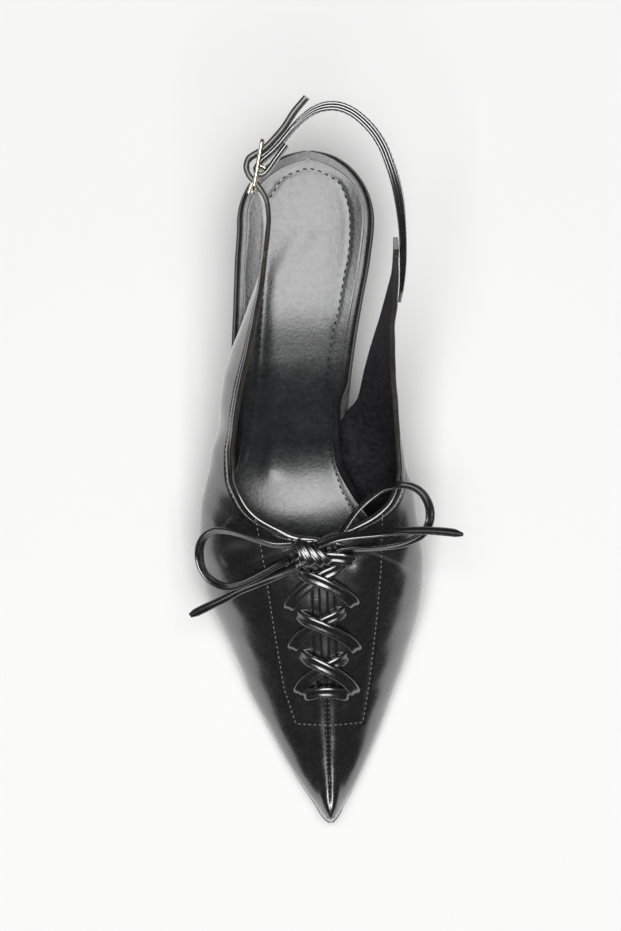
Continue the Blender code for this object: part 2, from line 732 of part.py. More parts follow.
def ribbon(name, line, across, widths, thicknesses, **looks):
    """A flat strip along a line: across is the direction of its width at each point."""
    tangent = directions(line)
    points = []
    corner = 0.22
    outline_points = [
        (-1, -1 + 2 * corner), (-1, 1 - 2 * corner), (-1 + corner, 1), (1 - corner, 1),
        (1, 1 - 2 * corner), (1, -1 + 2 * corner), (1 - corner, -1), (-1 + corner, -1),
    ]
    for p, t, a, width, thickness in zip(line, tangent, across, widths, thicknesses):
        n = np.cross(t, a)
        n /= np.linalg.norm(n)
        for u, v in outline_points:
            points.append(p + a * u * width / 2 + n * v * thickness / 2)
    return new_object(name, points, ring_faces(len(line), 8), **looks)


def resampled(line, step):
    """The line again on a smooth curve, with points about one step apart."""
    line = np.asarray(line, float)
    run = np.concatenate([[0], np.cumsum(np.linalg.norm(np.diff(line, axis=0), axis=1))])
    at = np.linspace(0, run[-1], max(3, round(run[-1] / step) + 1))
    slope = np.gradient(line, run, axis=0)
    i = np.clip(np.searchsorted(run, at, side="right") - 1, 0, len(run) - 2)
    h = (run[i + 1] - run[i])[:, None]
    t = ((at - run[i]) / (run[i + 1] - run[i]))[:, None]
    start = (1 + 2 * t) * (1 - t) ** 2 * line[i] + t * (1 - t) ** 2 * h * slope[i]
    end = t * t * (3 - 2 * t) * line[i + 1] + t * t * (t - 1) * h * slope[i + 1]
    return start + end


def make_upper(halves, tree):
    points, faces = upper_mesh(halves)
    upper = new_object("upper", points, faces, BLACK_LEATHER, 0.22)
    for i, row in enumerate(LACE_HOLES[1:]):
        hole = dict(zip(LACE_HOLES[0], row))
        for side in ("lateral", "medial"):
            d = hole[side + "_along"] * LENGTH
            x = hole[side + "_out"] * BALL_WIDTH * sign(side)
            at, normal = on_upper(tree, d, x)
            ends = [at - normal * 3 * UPPER_WALL, at + normal * 2 * UPPER_WALL]
            drill = tube(f"hole_{side}_{i + 1}", ends, LACE_HOLE / 2)
            boolean(upper, drill, "DIFFERENCE")
    line = prong_line()
    boolean(upper, tube("prong_hole", [line[0], line[3]], PRONG_WIRE / 2 + 2 * CLEARANCE), "DIFFERENCE")
    return upper


def edge_inset(d, wall_from, wall_to):
    """How far the insole's edge lies inside the last's: a wall's thickness where the upper stands on the sole."""
    t = np.clip((np.asarray(d) - wall_from) / (wall_to - wall_from), 0, 1)
    return CLEARANCE + (UPPER_WALL + CLEARANCE) * t * t * (3 - 2 * t)


def layer_stations(start, stop):
    """Places along the sole that every layer shares, closer together towards the layer's two round ends."""
    even = np.arange(1, SOLE_STEPS) * LENGTH / SOLE_STEPS
    ends = []
    for share in (0.0, 0.004, 0.016, 0.036, 0.064):
        ends += [start + share * LENGTH, stop - share * 0.25 * LENGTH]
    inner = [d for d in even if start + 0.075 * LENGTH < d < stop - 0.02 * LENGTH]
    return np.unique(np.round(np.concatenate([inner, ends]), 7))


def layer(name, start, stop, inset, low, high, rounding, looks):
    """A sheet that lies along the sole: low and high are its faces above the sole's top."""
    d = layer_stations(start, stop)
    thick = high - low
    profile = [(rounding, 0.0), (0.0, 0.3), (0.0, 0.7), (0.4 * rounding, 0.92), (rounding, 1.0)]
    points = []
    for place_d in d:
        lateral = float(outline_at(place_d, "lateral", inset, start, stop))
        medial = float(outline_at(place_d, "medial", inset, start, stop))
        z = float(sole_top(min(max(place_d, 0), LENGTH)))
        for part, share in profile:
            points.append(place(place_d, -lateral + part, z + low + share * thick))
        for part, share in profile[::-1]:
            points.append(place(place_d, medial - part, z + low + share * thick))
    return new_object(name, points, ring_faces(len(d), 2 * len(profile)), **looks)


def outline_at(d, side, inset, start, stop):
    """Half width of a layer that starts and stops short of the last's ends, or past them."""
    share = (d - start) / (stop - start)
    gap = float(inset(d)) if callable(inset) else inset
    inner = np.clip(share * LENGTH, 0.0001, LENGTH - 0.0001)
    mixed = read(SOLE_OUTLINE, side, d) * BALL_WIDTH * round_end(inner, SEAT_ROUND - gap)
    mixed = mixed * round_end(LENGTH - inner, TOE_ROUND)
    return max(float(mixed) - gap, 0.0012)


def make_outsole():
    looks = dict(colour=BLACK_LEATHER, roughness=0.5)
    return layer(
        "outsole", -OUTSOLE_LEDGE * 0.2, LENGTH + OUTSOLE_LEDGE, -OUTSOLE_LEDGE, -OUTSOLE_THICKNESS, 0.0,
        0.0005, looks,
    )


def make_insole():
    looks = dict(colour=SOCK_LEATHER, roughness=0.35)

    def inset(d):
        return edge_inset(d, 0.335 * LENGTH, 0.372 * LENGTH)

    reach = LENGTH - 2.5 * UPPER_WALL - 3 * CLEARANCE
    return layer("insole", CLEARANCE, reach, inset, CLEARANCE, CLEARANCE + INSOLE_THICKNESS, 0.0012, looks)


def make_sock():
    looks = dict(colour=SOCK_LEATHER, roughness=0.35)

    def inset(d):
        return edge_inset(d, 0.335 * LENGTH, 0.372 * LENGTH) + SOCK_INSET

    low = 2 * CLEARANCE + INSOLE_THICKNESS
    stop = LENGTH - 5 * UPPER_WALL - SOCK_INSET
    return layer("sock", CLEARANCE + SOCK_INSET, stop, inset, low, low + SOCK_THICKNESS, 0.0003, looks)


def make_tongue(halves):
    """The backing strip under the slit, bent to the upper's inner surface."""
    tree = surface_tree(halves, "inner")
    start = (column(VAMP, "top_along")[0] + 0.010) * LENGTH
    stop = (column(SLIT, "along")[-1] + 0.018) * LENGTH
    stations_along = np.linspace(start, stop, 12)
    places_across = np.linspace(-TONGUE_WIDTH / 2, TONGUE_WIDTH / 2, 7)
    points = []
    for d in stations_along:
        top = []
        for x in places_across:
            beside = math.copysign(max(abs(x), SLIT_GAP / 2 + UPPER_WALL / 2), x)
            point, normal = on_upper(tree, d, beside)
            top.append(place(d, x, point[2] - TONGUE_GAP / normal[2]))
        points += top
        points += [p - [0, 0, TONGUE_THICKNESS] for p in top[::-1]]
    return new_object("tongue", points, ring_faces(12, 14), LINING_LEATHER, 0.3)


def heel_ring(level, count=28):
    """One level of the heel, a round back and a flat breast."""
    v = {name: float(smooth(column(HEEL_LEVELS, "height"), column(HEEL_LEVELS, name), level)) for name in
         ("back", "breast", "width")}
    tip_back = HEEL_SETBACK - HEEL_TIP_LENGTH / 2
    tip_breast = HEEL_SETBACK + HEEL_TIP_LENGTH / 2
    back = tip_back + (HEEL_INSET + CLEARANCE - tip_back) * v["back"]
    breast = tip_breast + (HEEL_BREAST - tip_breast) * v["breast"]
    middle = HEEL_SETBACK
    widths = {}
    for side in ("lateral", "medial"):
        seat = float(outline(SEAT_ROUND, side)) - HEEL_INSET
        widths[side] = HEEL_TIP_WIDTH / 2 + (seat - HEEL_TIP_WIDTH / 2) * v["width"]
    ring = []
    for k in range(count):
        turn = 2 * math.pi * k / count
        c, s = math.cos(turn), math.sin(turn)
        power = 2 / 2.2 if s > 0 else 2 / 4.5
        x = math.copysign(abs(c) ** power, c) * widths["medial" if c > 0 else "lateral"]
        d = middle - math.copysign(abs(s) ** power, s) * (middle - back if s > 0 else breast - middle)
        top = float(sole_top(max(d, 0.0))) - OUTSOLE_THICKNESS - CLEARANCE
        low = HEEL_TIP_THICKNESS + CLEARANCE
        ring.append(place(d, x, low + (top - low) * level))
    return ring


def make_heel():
    levels = [0.0, 0.1, 0.2, 0.3, 0.4, 0.5, 0.6, 0.7, 0.8, 0.88, 0.94, 1.0]
    points = [p for level in levels for p in heel_ring(level)]
    return new_object("heel", points, ring_faces(len(levels), 28), BLACK_LEATHER, 0.25)


def make_heel_tip():
    base = np.array(heel_ring(0.0))
    points = []
    for z, grow in ((0.0, 0.97), (0.0004, 1.0), (HEEL_TIP_THICKNESS, 1.0)):
        ring = base * [grow, grow, 1.0]
        ring[:, 2] = z
        points += list(ring)
    return new_object("heel_tip", points, ring_faces(3, 28), (0.02, 0.02, 0.02), 0.6)


def spot(row):
    """A place of the buckle from its along, out and climb."""
    return place(row[0] * LENGTH, row[1] * BALL_WIDTH, throat_height() + row[2] * STRAP_RISE)


def make_buckle_frame():
    back, front, centre = spot(BUCKLE_BACK), spot(BUCKLE_FRONT), spot(CENTRE_BAR)
    reach = np.array([0, 0, BUCKLE_HEIGHT / 2])
    corners = [back - reach, back + reach, front + reach, front - reach]
    line = []
    for k, corner in enumerate(corners):
        for other in (corners[k - 1], corners[(k + 1) % 4]):
            way = (other - corner) / np.linalg.norm(other - corner)
            line.append(corner + way * BUCKLE_CORNER)
    looks = dict(colour=PALE_GOLD, roughness=0.2, metallic=1.0)
    frame = tube("buckle_frame", line, FRAME_WIRE / 2, closed=True, **looks)
    way = front - back
    on_frame = back + way * (centre - back).dot(way) / way.dot(way)
    bar_line = [on_frame - reach, centre - reach * 0.8, centre + reach * 0.8, on_frame + reach]
    bar = tube("centre_bar", bar_line, CENTRE_BAR_WIRE / 2, colour=PALE_GOLD, metallic=1.0)
    boolean(frame, bar, "UNION")
    return frame


def prong_line():
    """The prong's middle line: from the centre bar through the billet to rest on the front end bar."""
    front, centre = spot(BUCKLE_FRONT), spot(CENTRE_BAR)
    outward = np.array([-1.0, 0.0, 0.0])
    reach = (FRAME_WIRE + PRONG_WIRE) / 2 + CLEARANCE
    root = centre + outward * (CENTRE_BAR_WIRE / 2 + PRONG_WIRE / 2 + CLEARANCE)
    rest = front + outward * reach * 1.1
    rest[2] = (centre[2] + front[2]) / 2
    root[2] = rest[2] + 0.0004
    along = rest - root
    return np.array([root, root + along * 0.35, root + along * 0.75, rest, rest + along * 0.05])


def make_buckle_prong():
    line = prong_line()
    prong = tube("buckle_prong", line, PRONG_WIRE / 2, sides=6, colour=PALE_GOLD, roughness=0.2, metallic=1.0)
    centre = spot(CENTRE_BAR)
    centre[2] = line[0][2]
    reach = (CENTRE_BAR_WIRE + PRONG_WIRE) / 2 + CLEARANCE
    turns = [2 * math.pi * k / 10 for k in range(10)]
    ring = [centre + np.array([math.cos(a), math.sin(a), 0]) * reach for a in turns]
    boolean(prong, tube("prong_ring", ring, PRONG_WIRE / 2, sides=6, closed=True, metallic=1.0), "UNION")
    return prong


def strap_line():
    """The slingback strap's middle line with its fold round the centre bar, and its thickness at each point."""
    line = path_of(SLINGBACK, "medial")
    thick = column(SLINGBACK, "thickness") * STRAP_THICKNESS
    centre = spot(CENTRE_BAR)
    radius = (CENTRE_BAR_WIRE + FOLD_THICKNESS) / 2 + CLEARANCE
    end = spot(FOLD_END)
    away = line[-1] - centre
    start_turn = math.atan2(away[1], away[0])
    tangent_turn = math.acos(min(radius / math.hypot(away[0], away[1]), 1))
    first = start_turn + tangent_turn
    back = end - centre
    turned = math.acos(min(radius / math.hypot(back[0], back[1]), 1))
    last = math.atan2(back[1], back[0]) - turned + 2 * math.pi
    turns = np.linspace(first, last, 9)
    loop = [centre + np.array([math.cos(a) * radius, math.sin(a) * radius, 0.0]) for a in turns]
    heights = [line[-1][2], centre[2], (centre[2] + end[2]) / 2]
    level = np.interp(np.linspace(0, 1, len(loop)), [0, 0.5, 1], heights)
    for p, z in zip(loop, level):
        p[2] = z
    middle = (loop[-1] + end) / 2
    whole = np.vstack([line, loop, [middle, end]])
    thickness = np.concatenate([thick, [FOLD_THICKNESS] * (len(loop) + 2)])
    return whole, thickness


def make_slingback_strap():
    line, thick = strap_line()
    tangent = directions(line)
    lean = np.zeros(len(line))
    lean[: len(SLINGBACK) - 1] = column(SLINGBACK, "lean")
    up = upright(tangent, lean)
    up[len(SLINGBACK) - 3 :] = [0.0, 0.0, 1.0]
    widths = np.full(len(line), STRAP_WIDTH)
    widths[0] = 0.55 * STRAP_WIDTH
    widths[1] = 0.92 * STRAP_WIDTH
    strap = ribbon("slingback_strap", line, up, widths, thick, colour=BLACK_LEATHER, roughness=0.25)
    middle = spot(CENTRE_BAR)
    middle[2] = prong_line()[0][2]
    half_slot = np.array([0, 0, PRONG_WIRE / 2 + 2 * CLEARANCE])
    reach = CENTRE_BAR_WIRE / 2 + FOLD_THICKNESS + 3 * CLEARANCE
    slot = tube("prong_slot", [middle - half_slot, middle + half_slot], reach, sides=16)
    boolean(strap, slot, "DIFFERENCE")
    return strap


def lace_spot(tree, hole, side):
    d = column(LACE_HOLES, side + "_along")[hole] * LENGTH
    x = column(LACE_HOLES, side + "_out")[hole] * BALL_WIDTH * sign(side)
    return d, x


def strand(name, tree, start, stop, lift, bulge=0.0):
    """A strip of the lace from one hole to another over the upper, bowed along the shoe by the bulge."""
    line = []
    across = []
    count = 9
    for k in range(count):
        t = k / (count - 1)
        d = start[0] + (stop[0] - start[0]) * t + bulge * 4 * t * (1 - t)
        x = start[1] + (stop[1] - start[1]) * t
        at, normal = on_upper(tree, d, math.copysign(max(abs(x), SLIT_GAP / 2 + 0.001), x))
        height = CLEARANCE + LACE_THICKNESS / 2 + lift * math.sin(math.pi * t)
        point = at + normal * height
        point[0] = x
        line.append(point)
        across.append(normal)
    line = np.array(line)
    tangent = directions(line)
    wide = np.cross(tangent, np.array(across))
    wide /= np.linalg.norm(wide, axis=1, keepdims=True)
    return ribbon(
        name, line, wide, [LACE_WIDTH] * count, [LACE_THICKNESS] * count, colour=BLACK_LEATHER, roughness=0.25
    )


def make_lace_crossings(tree):
    """The bottom bar and three crossings, joined where they pass over each other and at the holes."""
    bar = strand(
        "lace_crossings", tree, lace_spot(tree, 0, "lateral"), lace_spot(tree, 0, "medial"), 0.0012, -0.0032
    )
    for k in range(3):
        over = strand(
            f"over_{k}", tree, lace_spot(tree, k + 1, "lateral"), lace_spot(tree, k, "medial"), 0.0016
        )
        under = strand(
            f"under_{k}", tree, lace_spot(tree, k + 1, "medial"), lace_spot(tree, k, "lateral"), 0.0004
        )
        boolean(bar, over, "UNION")
        boolean(bar, under, "UNION")
    return bar


def make_cord(name, route, thickness, step):
    """A cord of the bow as a curve with a round bevel, along a route in millimetres."""
    line = resampled(np.array(route) / 1000, step)
    curve = bpy.data.curves.new(name, "CURVE")
    curve.dimensions = "3D"
    curve.bevel_depth = thickness / 2
    curve.bevel_resolution = 2
    curve.render_resolution_u = 0
    curve.use_fill_caps = True
    spline = curve.splines.new("POLY")
    spline.points.add(len(line) - 1)
    for point, p in zip(spline.points, line):
        point.co = (*p, 1)
    curve.materials.append(material(name, BLACK_LEATHER, 0.25, 0.0))
    made = bpy.data.objects.new(name, curve)
    bpy.context.scene.collection.objects.link(made)
    return made


def make_bow():
    make_cord("lace_knot", LACE_KNOT_ROUTE, KNOT_THICKNESS, 0.0030)
    make_cord("lace_loop_lateral", LATERAL_LOOP_ROUTE, CORD_THICKNESS, 0.0045)
    make_cord("lace_loop_medial", MEDIAL_LOOP_ROUTE, CORD_THICKNESS, 0.0045)
    make_cord("lace_tail_lateral", LATERAL_TAIL_ROUTE, CORD_THICKNESS, 0.0055)
    make_cord("lace_tail_medial", MEDIAL_TAIL_ROUTE, CORD_THICKNESS, 0.0055)


def main():
    for old in list(bpy.data.objects):
        bpy.data.objects.remove(old, do_unlink=True)
    shares = np.linspace(0, 1, 7)
    halves = upper_grids(1, 2, 2, shares)
    tree = surface_tree(halves, "outer")
    make_upper(halves, tree)
    make_tongue(halves)
    make_insole()
    make_sock()
    make_outsole()
    make_heel()
    make_heel_tip()
    make_buckle_frame()
    make_buckle_prong()
    make_slingback_strap()
    make_lace_crossings(tree)
    make_bow()


main()
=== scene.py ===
"""Looks of the right slingback pump with a laced vamp: fine leather, seams, stitches, lace, bow and buckle.

The toe points to -Y, the medial side is +X. Along is counted from the heel's back to the toe tip.
"""

import math

import bmesh
import bpy
import numpy as np
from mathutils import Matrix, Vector
from mathutils.bvhtree import BVHTree


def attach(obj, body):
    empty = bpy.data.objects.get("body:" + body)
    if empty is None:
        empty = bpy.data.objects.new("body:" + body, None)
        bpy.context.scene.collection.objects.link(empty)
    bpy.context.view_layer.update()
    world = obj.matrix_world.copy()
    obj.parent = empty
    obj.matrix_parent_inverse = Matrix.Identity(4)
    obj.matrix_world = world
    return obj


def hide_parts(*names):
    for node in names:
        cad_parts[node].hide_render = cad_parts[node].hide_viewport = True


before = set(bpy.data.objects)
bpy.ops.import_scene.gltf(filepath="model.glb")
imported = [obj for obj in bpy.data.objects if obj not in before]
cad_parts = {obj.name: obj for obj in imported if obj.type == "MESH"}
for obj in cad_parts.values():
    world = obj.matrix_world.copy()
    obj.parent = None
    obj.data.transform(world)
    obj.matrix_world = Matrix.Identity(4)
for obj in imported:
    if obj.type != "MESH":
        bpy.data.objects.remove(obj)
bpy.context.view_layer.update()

# Driving sizes
LENGTH = 0.254
BALL_WIDTH = 0.0875
SEAT_HEIGHT = 0.0532
TOE_SPRING = 0.0056
INSTEP_RISE = 0.0376
STRAP_RISE = 0.0628
HEEL_SETBACK = 0.026
CLEARANCE = 0.0003

# Sizes of the leather and the sole
UPPER_WALL = 0.0018
BINDING_START = {"lateral": 0.175, "medial": 0.235}
SLIT_GAP = 0.0028
OUTSOLE_THICKNESS = 0.0026
OUTSOLE_LEDGE = 0.0005
INSOLE_THICKNESS = 0.0028
SOCK_THICKNESS = 0.0007
SOCK_INSET = 0.0030
TONGUE_WIDTH = 0.0110
TONGUE_THICKNESS = 0.0010
TONGUE_GAP = 0.0005
SEAT_ROUND = 0.0254
TOE_ROUND = 0.0046

# Sizes of the heel
HEEL_TIP_THICKNESS = 0.0050
HEEL_TIP_LENGTH = 0.0180
HEEL_TIP_WIDTH = 0.0172
HEEL_BREAST = 0.0460
HEEL_INSET = 0.0007

# Sizes of the strap and its buckle
STRAP_WIDTH = 0.0086
STRAP_THICKNESS = 0.0024
STRAP_LEAN = 0.17
FOLD_THICKNESS = 0.0017
BUCKLE_HEIGHT = 0.0116
FRAME_WIRE = 0.0014
CENTRE_BAR_WIRE = 0.0015
PRONG_WIRE = 0.0010

# Sizes of the lace
KNOT_THICKNESS = 0.0048

# Top of the outsole from heel to toe: arch is a share of the seat's height, spring of the toe spring
SOLE_PROFILE = (
    ("along", "arch", "spring"),
    (0.000, 1.000, 0.00),
    (0.100, 0.981, 0.00),
    (0.200, 0.921, 0.00),
    (0.300, 0.790, 0.00),
    (0.400, 0.580, 0.00),
    (0.500, 0.335, 0.00),
    (0.590, 0.135, 0.00),
    (0.660, 0.032, 0.00),
    (0.710, 0.000, 0.00),
    (0.790, 0.000, 0.00),
    (0.860, 0.000, 0.20),
    (0.930, 0.000, 0.55),
    (1.000, 0.000, 1.00),
)

# The last's edge, where upper and sole meet: half widths are shares of the ball width
SOLE_OUTLINE = (
    ("along", "lateral", "medial"),
    (0.00, 0.300, 0.262),
    (0.10, 0.306, 0.265),
    (0.16, 0.322, 0.243),
    (0.22, 0.335, 0.205),
    (0.28, 0.350, 0.170),
    (0.34, 0.366, 0.143),
    (0.40, 0.386, 0.126),
    (0.45, 0.413, 0.134),
    (0.50, 0.458, 0.194),
    (0.55, 0.491, 0.294),
    (0.60, 0.510, 0.384),
    (0.64, 0.497, 0.420),
    (0.68, 0.466, 0.411),
    (0.74, 0.396, 0.364),
    (0.80, 0.334, 0.300),
    (0.86, 0.252, 0.230),
    (0.92, 0.161, 0.148),
    (0.96, 0.091, 0.085),
    (0.98, 0.054, 0.049),
    (1.00, 0.030, 0.026),
)

# The vamp's ridge from throat to toe: rise above the sole is a share of the instep's rise
VAMP_RIDGE = (
    ("along", "rise"),
    (0.400, 1.220),
    (0.500, 1.060),
    (0.567, 1.000),
    (0.650, 0.985),
    (0.730, 0.830),
    (0.807, 0.640),
    (0.886, 0.460),
    (0.945, 0.345),
    (0.985, 0.265),
    (1.000, 0.200),
)

# The slit along the ridge: its opening as a share of the widest gap
SLIT = (
    ("along", "gap"),
    (0.560, 0.80),
    (0.620, 1.00),
    (0.720, 1.00),
    (0.770, 0.55),
    (0.785, 0.00),
)

# The strap that the lateral quarter ends in, from its tip through the buckle to the quarter
BILLET = (
    ("along", "out", "climb", "lean"),
    (-0.0516, 0.0069, 0.987, 0.0),
    (-0.0323, 0.0590, 0.971, 0.0),
    (-0.0110, 0.1050, 0.949, 0.0),
    (0.0063, 0.1530, 0.930, 0.0),
    (0.0150, 0.1810, 0.920, 0.0),
    (0.0213, 0.2126, 0.911, 0.0),
    (0.0276, 0.2446, 0.904, 0.0),
    (0.0394, 0.2617, 0.892, 0.0),
    (0.0524, 0.2560, 0.879, 0.1),
    (0.0630, 0.2354, 0.868, 0.2),
    (0.0748, 0.2103, 0.855, 0.4),
    (0.0878, 0.1930, 0.838, 0.7),
    (0.1043, 0.1870, 0.809, 0.8),
    (0.1260, 0.1900, 0.763, 0.7),
    (0.1476, 0.1990, 0.713, 0.6),
)

# The tab at the end of the medial quarter
MEDIAL_TAB = (
    ("along", "out", "climb", "lean"),
    (0.1516, 0.3531, 0.720, 0.0),
    (0.1614, 0.3531, 0.694, 0.0),
)

# Quarter sections from strap to throat. A foot with no out stands on the last's edge.
# lift and climb are shares of the strap's rise, rise and drop of the section's own height, the rest as above.
SECTION_COLUMNS = (
    "foot_along", "foot_out", "lift", "top_along", "top_out", "climb", "flare", "rise", "shoulder", "drop",
)
LATERAL_QUARTER = (
    SECTION_COLUMNS,
    (0.177, 0.216, 0.568, 0.165, 0.202, 0.725, -0.002, 0.33, 0.005, 0.33),
    (0.207, 0.248, 0.461, 0.197, 0.216, 0.653, -0.005, 0.33, 0.011, 0.33),
    (0.252, 0.305, 0.335, 0.236, 0.239, 0.541, -0.009, 0.33, 0.025, 0.33),
    (0.299, 0.368, 0.214, 0.283, 0.272, 0.414, -0.009, 0.33, 0.041, 0.33),
    (0.339, 0.398, 0.145, 0.331, 0.309, 0.303, 0.014, 0.33, 0.055, 0.33),
    (0.366, 0.392, 0.081, 0.370, 0.338, 0.207, 0.050, 0.35, 0.057, 0.34),
    (0.388, None, 0.000, 0.406, 0.357, 0.135, 0.078, 0.35, 0.057, 0.36),
    (0.421, None, 0.000, 0.441, 0.368, 0.072, 0.099, 0.35, 0.091, 0.38),
    (0.465, None, 0.000, 0.474, 0.365, 0.024, 0.109, 0.36, 0.120, 0.38),
    (0.512, None, 0.000, 0.504, 0.334, -0.008, 0.109, 0.38, 0.160, 0.35),
    (0.559, None, 0.000, 0.530, 0.277, -0.019, 0.097, 0.42, 0.217, 0.28),
    (0.598, None, 0.000, 0.550, 0.181, -0.013, 0.103, 0.47, 0.274, 0.18),
    (0.630, None, 0.000, 0.562, 0.103, -0.005, 0.097, 0.50, 0.309, 0.08),
)
MEDIAL_QUARTER = (
    SECTION_COLUMNS,
    (0.185, 0.346, 0.556, 0.173, 0.353, 0.717, 0.002, 0.33, 0.002, 0.33),
    (0.213, 0.325, 0.444, 0.201, 0.351, 0.645, 0.009, 0.33, -0.007, 0.33),
    (0.244, 0.296, 0.359, 0.232, 0.345, 0.557, 0.023, 0.33, -0.009, 0.33),
    (0.283, 0.255, 0.258, 0.272, 0.331, 0.454, 0.039, 0.33, -0.009, 0.33),
    (0.323, 0.216, 0.174, 0.315, 0.331, 0.342, 0.062, 0.33, -0.009, 0.33),
    (0.358, 0.187, 0.099, 0.358, 0.336, 0.239, 0.080, 0.30, 0.000, 0.36),
    (0.386, None, 0.000, 0.398, 0.341, 0.159, 0.103, 0.25, 0.011, 0.40),
    (0.417, None, 0.000, 0.433, 0.345, 0.088, 0.137, 0.25, 0.043, 0.42),
    (0.457, None, 0.000, 0.465, 0.345, 0.040, 0.178, 0.27, 0.083, 0.42),
    (0.500, None, 0.000, 0.492, 0.331, 0.005, 0.194, 0.30, 0.149, 0.40),
    (0.539, None, 0.000, 0.516, 0.299, -0.016, 0.143, 0.34, 0.194, 0.38),
    (0.579, None, 0.000, 0.535, 0.237, -0.019, 0.108, 0.40, 0.251, 0.30),
    (0.614, None, 0.000, 0.552, 0.137, -0.011, 0.103, 0.46, 0.286, 0.18),
)

# Vamp sections from throat to nose: flare and shoulder are shares of the section's own half width
VAMP = (
    ("foot_along", "top_along", "flare", "rise", "shoulder", "drop"),
    (0.656, 0.5675, 0.23, 0.52, 0.68, 0.00),
    (0.681, 0.592, 0.22, 0.54, 0.64, 0.00),
    (0.709, 0.630, 0.20, 0.55, 0.61, 0.00),
    (0.740, 0.677, 0.18, 0.55, 0.58, 0.02),
    (0.778, 0.732, 0.16, 0.55, 0.56, 0.04),
    (0.811, 0.785, 0.14, 0.55, 0.54, 0.06),
    (0.843, 0.822, 0.13, 0.55, 0.52, 0.08),
    (0.878, 0.862, 0.12, 0.55, 0.50, 0.10),
    (0.913, 0.903, 0.12, 0.53, 0.48, 0.12),
    (0.948, 0.942, 0.12, 0.52, 0.46, 0.12),
    (0.972, 0.967, 0.12, 0.52, 0.45, 0.10),
    (0.989, 0.983, 0.12, 0.52, 0.45, 0.08),
    (0.9975, 0.991, 0.12, 0.52, 0.45, 0.05),
    (1.000, 0.994, 0.00, 0.50, 0.00, 0.40),
)

# The lace's holes, the pair at the toe first
LACE_HOLES = (
    ("lateral_along", "lateral_out", "medial_along", "medial_out"),
    (0.804, 0.112, 0.807, 0.109),
    (0.736, 0.131, 0.741, 0.123),
    (0.676, 0.141, 0.672, 0.120),
    (0.611, 0.130, 0.602, 0.127),
)

# The heel's levels from its tip to the seat: back, breast and half widths run from the tip's to the seat's
HEEL_LEVELS = (
    ("height", "back", "breast", "width"),
    (0.00, 0.00, 0.00, 0.00),
    (0.20, 0.10, -0.05, 0.01),
    (0.40, 0.29, 0.00, 0.07),
    (0.60, 0.53, 0.12, 0.22),
    (0.80, 0.81, 0.42, 0.55),
    (0.92, 0.95, 0.76, 0.85),
    (1.00, 1.00, 1.00, 1.00),
)

# The strap from its stitched end on the medial tab, round the back, to the buckle's centre bar
SLINGBACK = (
    ("along", "out", "climb", "thickness", "lean"),
    (0.2264, 0.3560, 0.486, 0.50, 0.0),
    (0.2087, 0.3640, 0.535, 0.65, 0.0),
    (0.1890, 0.3690, 0.586, 0.85, 0.0),
    (0.1693, 0.3715, 0.637, 1.00, 0.0),
    (0.1496, 0.3720, 0.688, 1.00, 0.1),
    (0.1220, 0.3690, 0.755, 1.00, 0.5),
    (0.0906, 0.3600, 0.818, 1.00, 1.0),
    (0.0630, 0.3429, 0.863, 1.00, 1.0),
    (0.0413, 0.3234, 0.890, 1.00, 1.0),
    (0.0197, 0.2994, 0.908, 1.00, 1.0),
    (0.0000, 0.2651, 0.920, 1.00, 1.0),
    (-0.0157, 0.2251, 0.927, 1.00, 1.0),
    (-0.0287, 0.1783, 0.932, 1.00, 1.0),
    (-0.0362, 0.1280, 0.933, 1.00, 1.0),
    (-0.0370, 0.0754, 0.933, 1.00, 0.9),
    (-0.0315, 0.0251, 0.932, 0.90, 0.6),
    (-0.0197, -0.0251, 0.926, 0.80, 0.3),
    (-0.0059, -0.0670, 0.916, 0.72, 0.1),
    (0.0091, -0.1060, 0.904, 0.70, 0.0),
    (0.0217, -0.1430, 0.894, 0.70, 0.0),
)
FOLD_END = (0.0142, -0.0880, 0.898)

# The buckle: its two end bars and its centre bar, in plan, and the height of its middle at each
BUCKLE_BACK = (0.0075, -0.1830, 0.928)
BUCKLE_FRONT = (0.0768, -0.2274, 0.858)
CENTRE_BAR = (0.0472, -0.1931, 0.890)

# The bow's cords, each a route of points in millimetres: across, along the floor, up
LACE_KNOT_ROUTE = (
    (-10.0, -122.1, 50.5), (-7.0, -121.9, 50.7), (-4.1, -122.7, 50.9), (-1.1, -123.5, 50.7),
    (1.8, -124.0, 50.3),
)
LATERAL_LOOP_ROUTE = (
    (-11.4, -119.4, 52.6), (-14.3, -119.5, 53.0), (-17.3, -119.4, 53.0), (-22.1, -118.0, 52.4),
    (-26.5, -116.4, 51.4), (-30.9, -114.8, 49.9), (-35.7, -113.6, 47.6), (-40.3, -113.5, 44.6),
    (-43.5, -115.3, 41.6), (-45.5, -118.6, 39.2), (-46.1, -122.8, 37.4), (-45.5, -127.0, 36.5),
    (-43.4, -130.8, 36.4), (-40.1, -133.5, 37.2), (-35.6, -134.9, 38.8), (-31.0, -134.0, 41.0),
    (-26.4, -132.2, 43.2), (-21.4, -129.7, 45.5), (-16.5, -127.2, 47.7), (-12.6, -125.6, 49.2),
)
LATERAL_TAIL_ROUTE = (
    (-9.1, -128.2, 48.1), (-14.0, -130.0, 46.2), (-19.7, -132.1, 43.1), (-25.4, -134.2, 40.6),
    (-31.2, -136.4, 37.5), (-37.0, -139.3, 34.6), (-42.8, -141.9, 32.0), (-46.7, -143.7, 30.4),
    (-50.6, -145.5, 28.8),
)
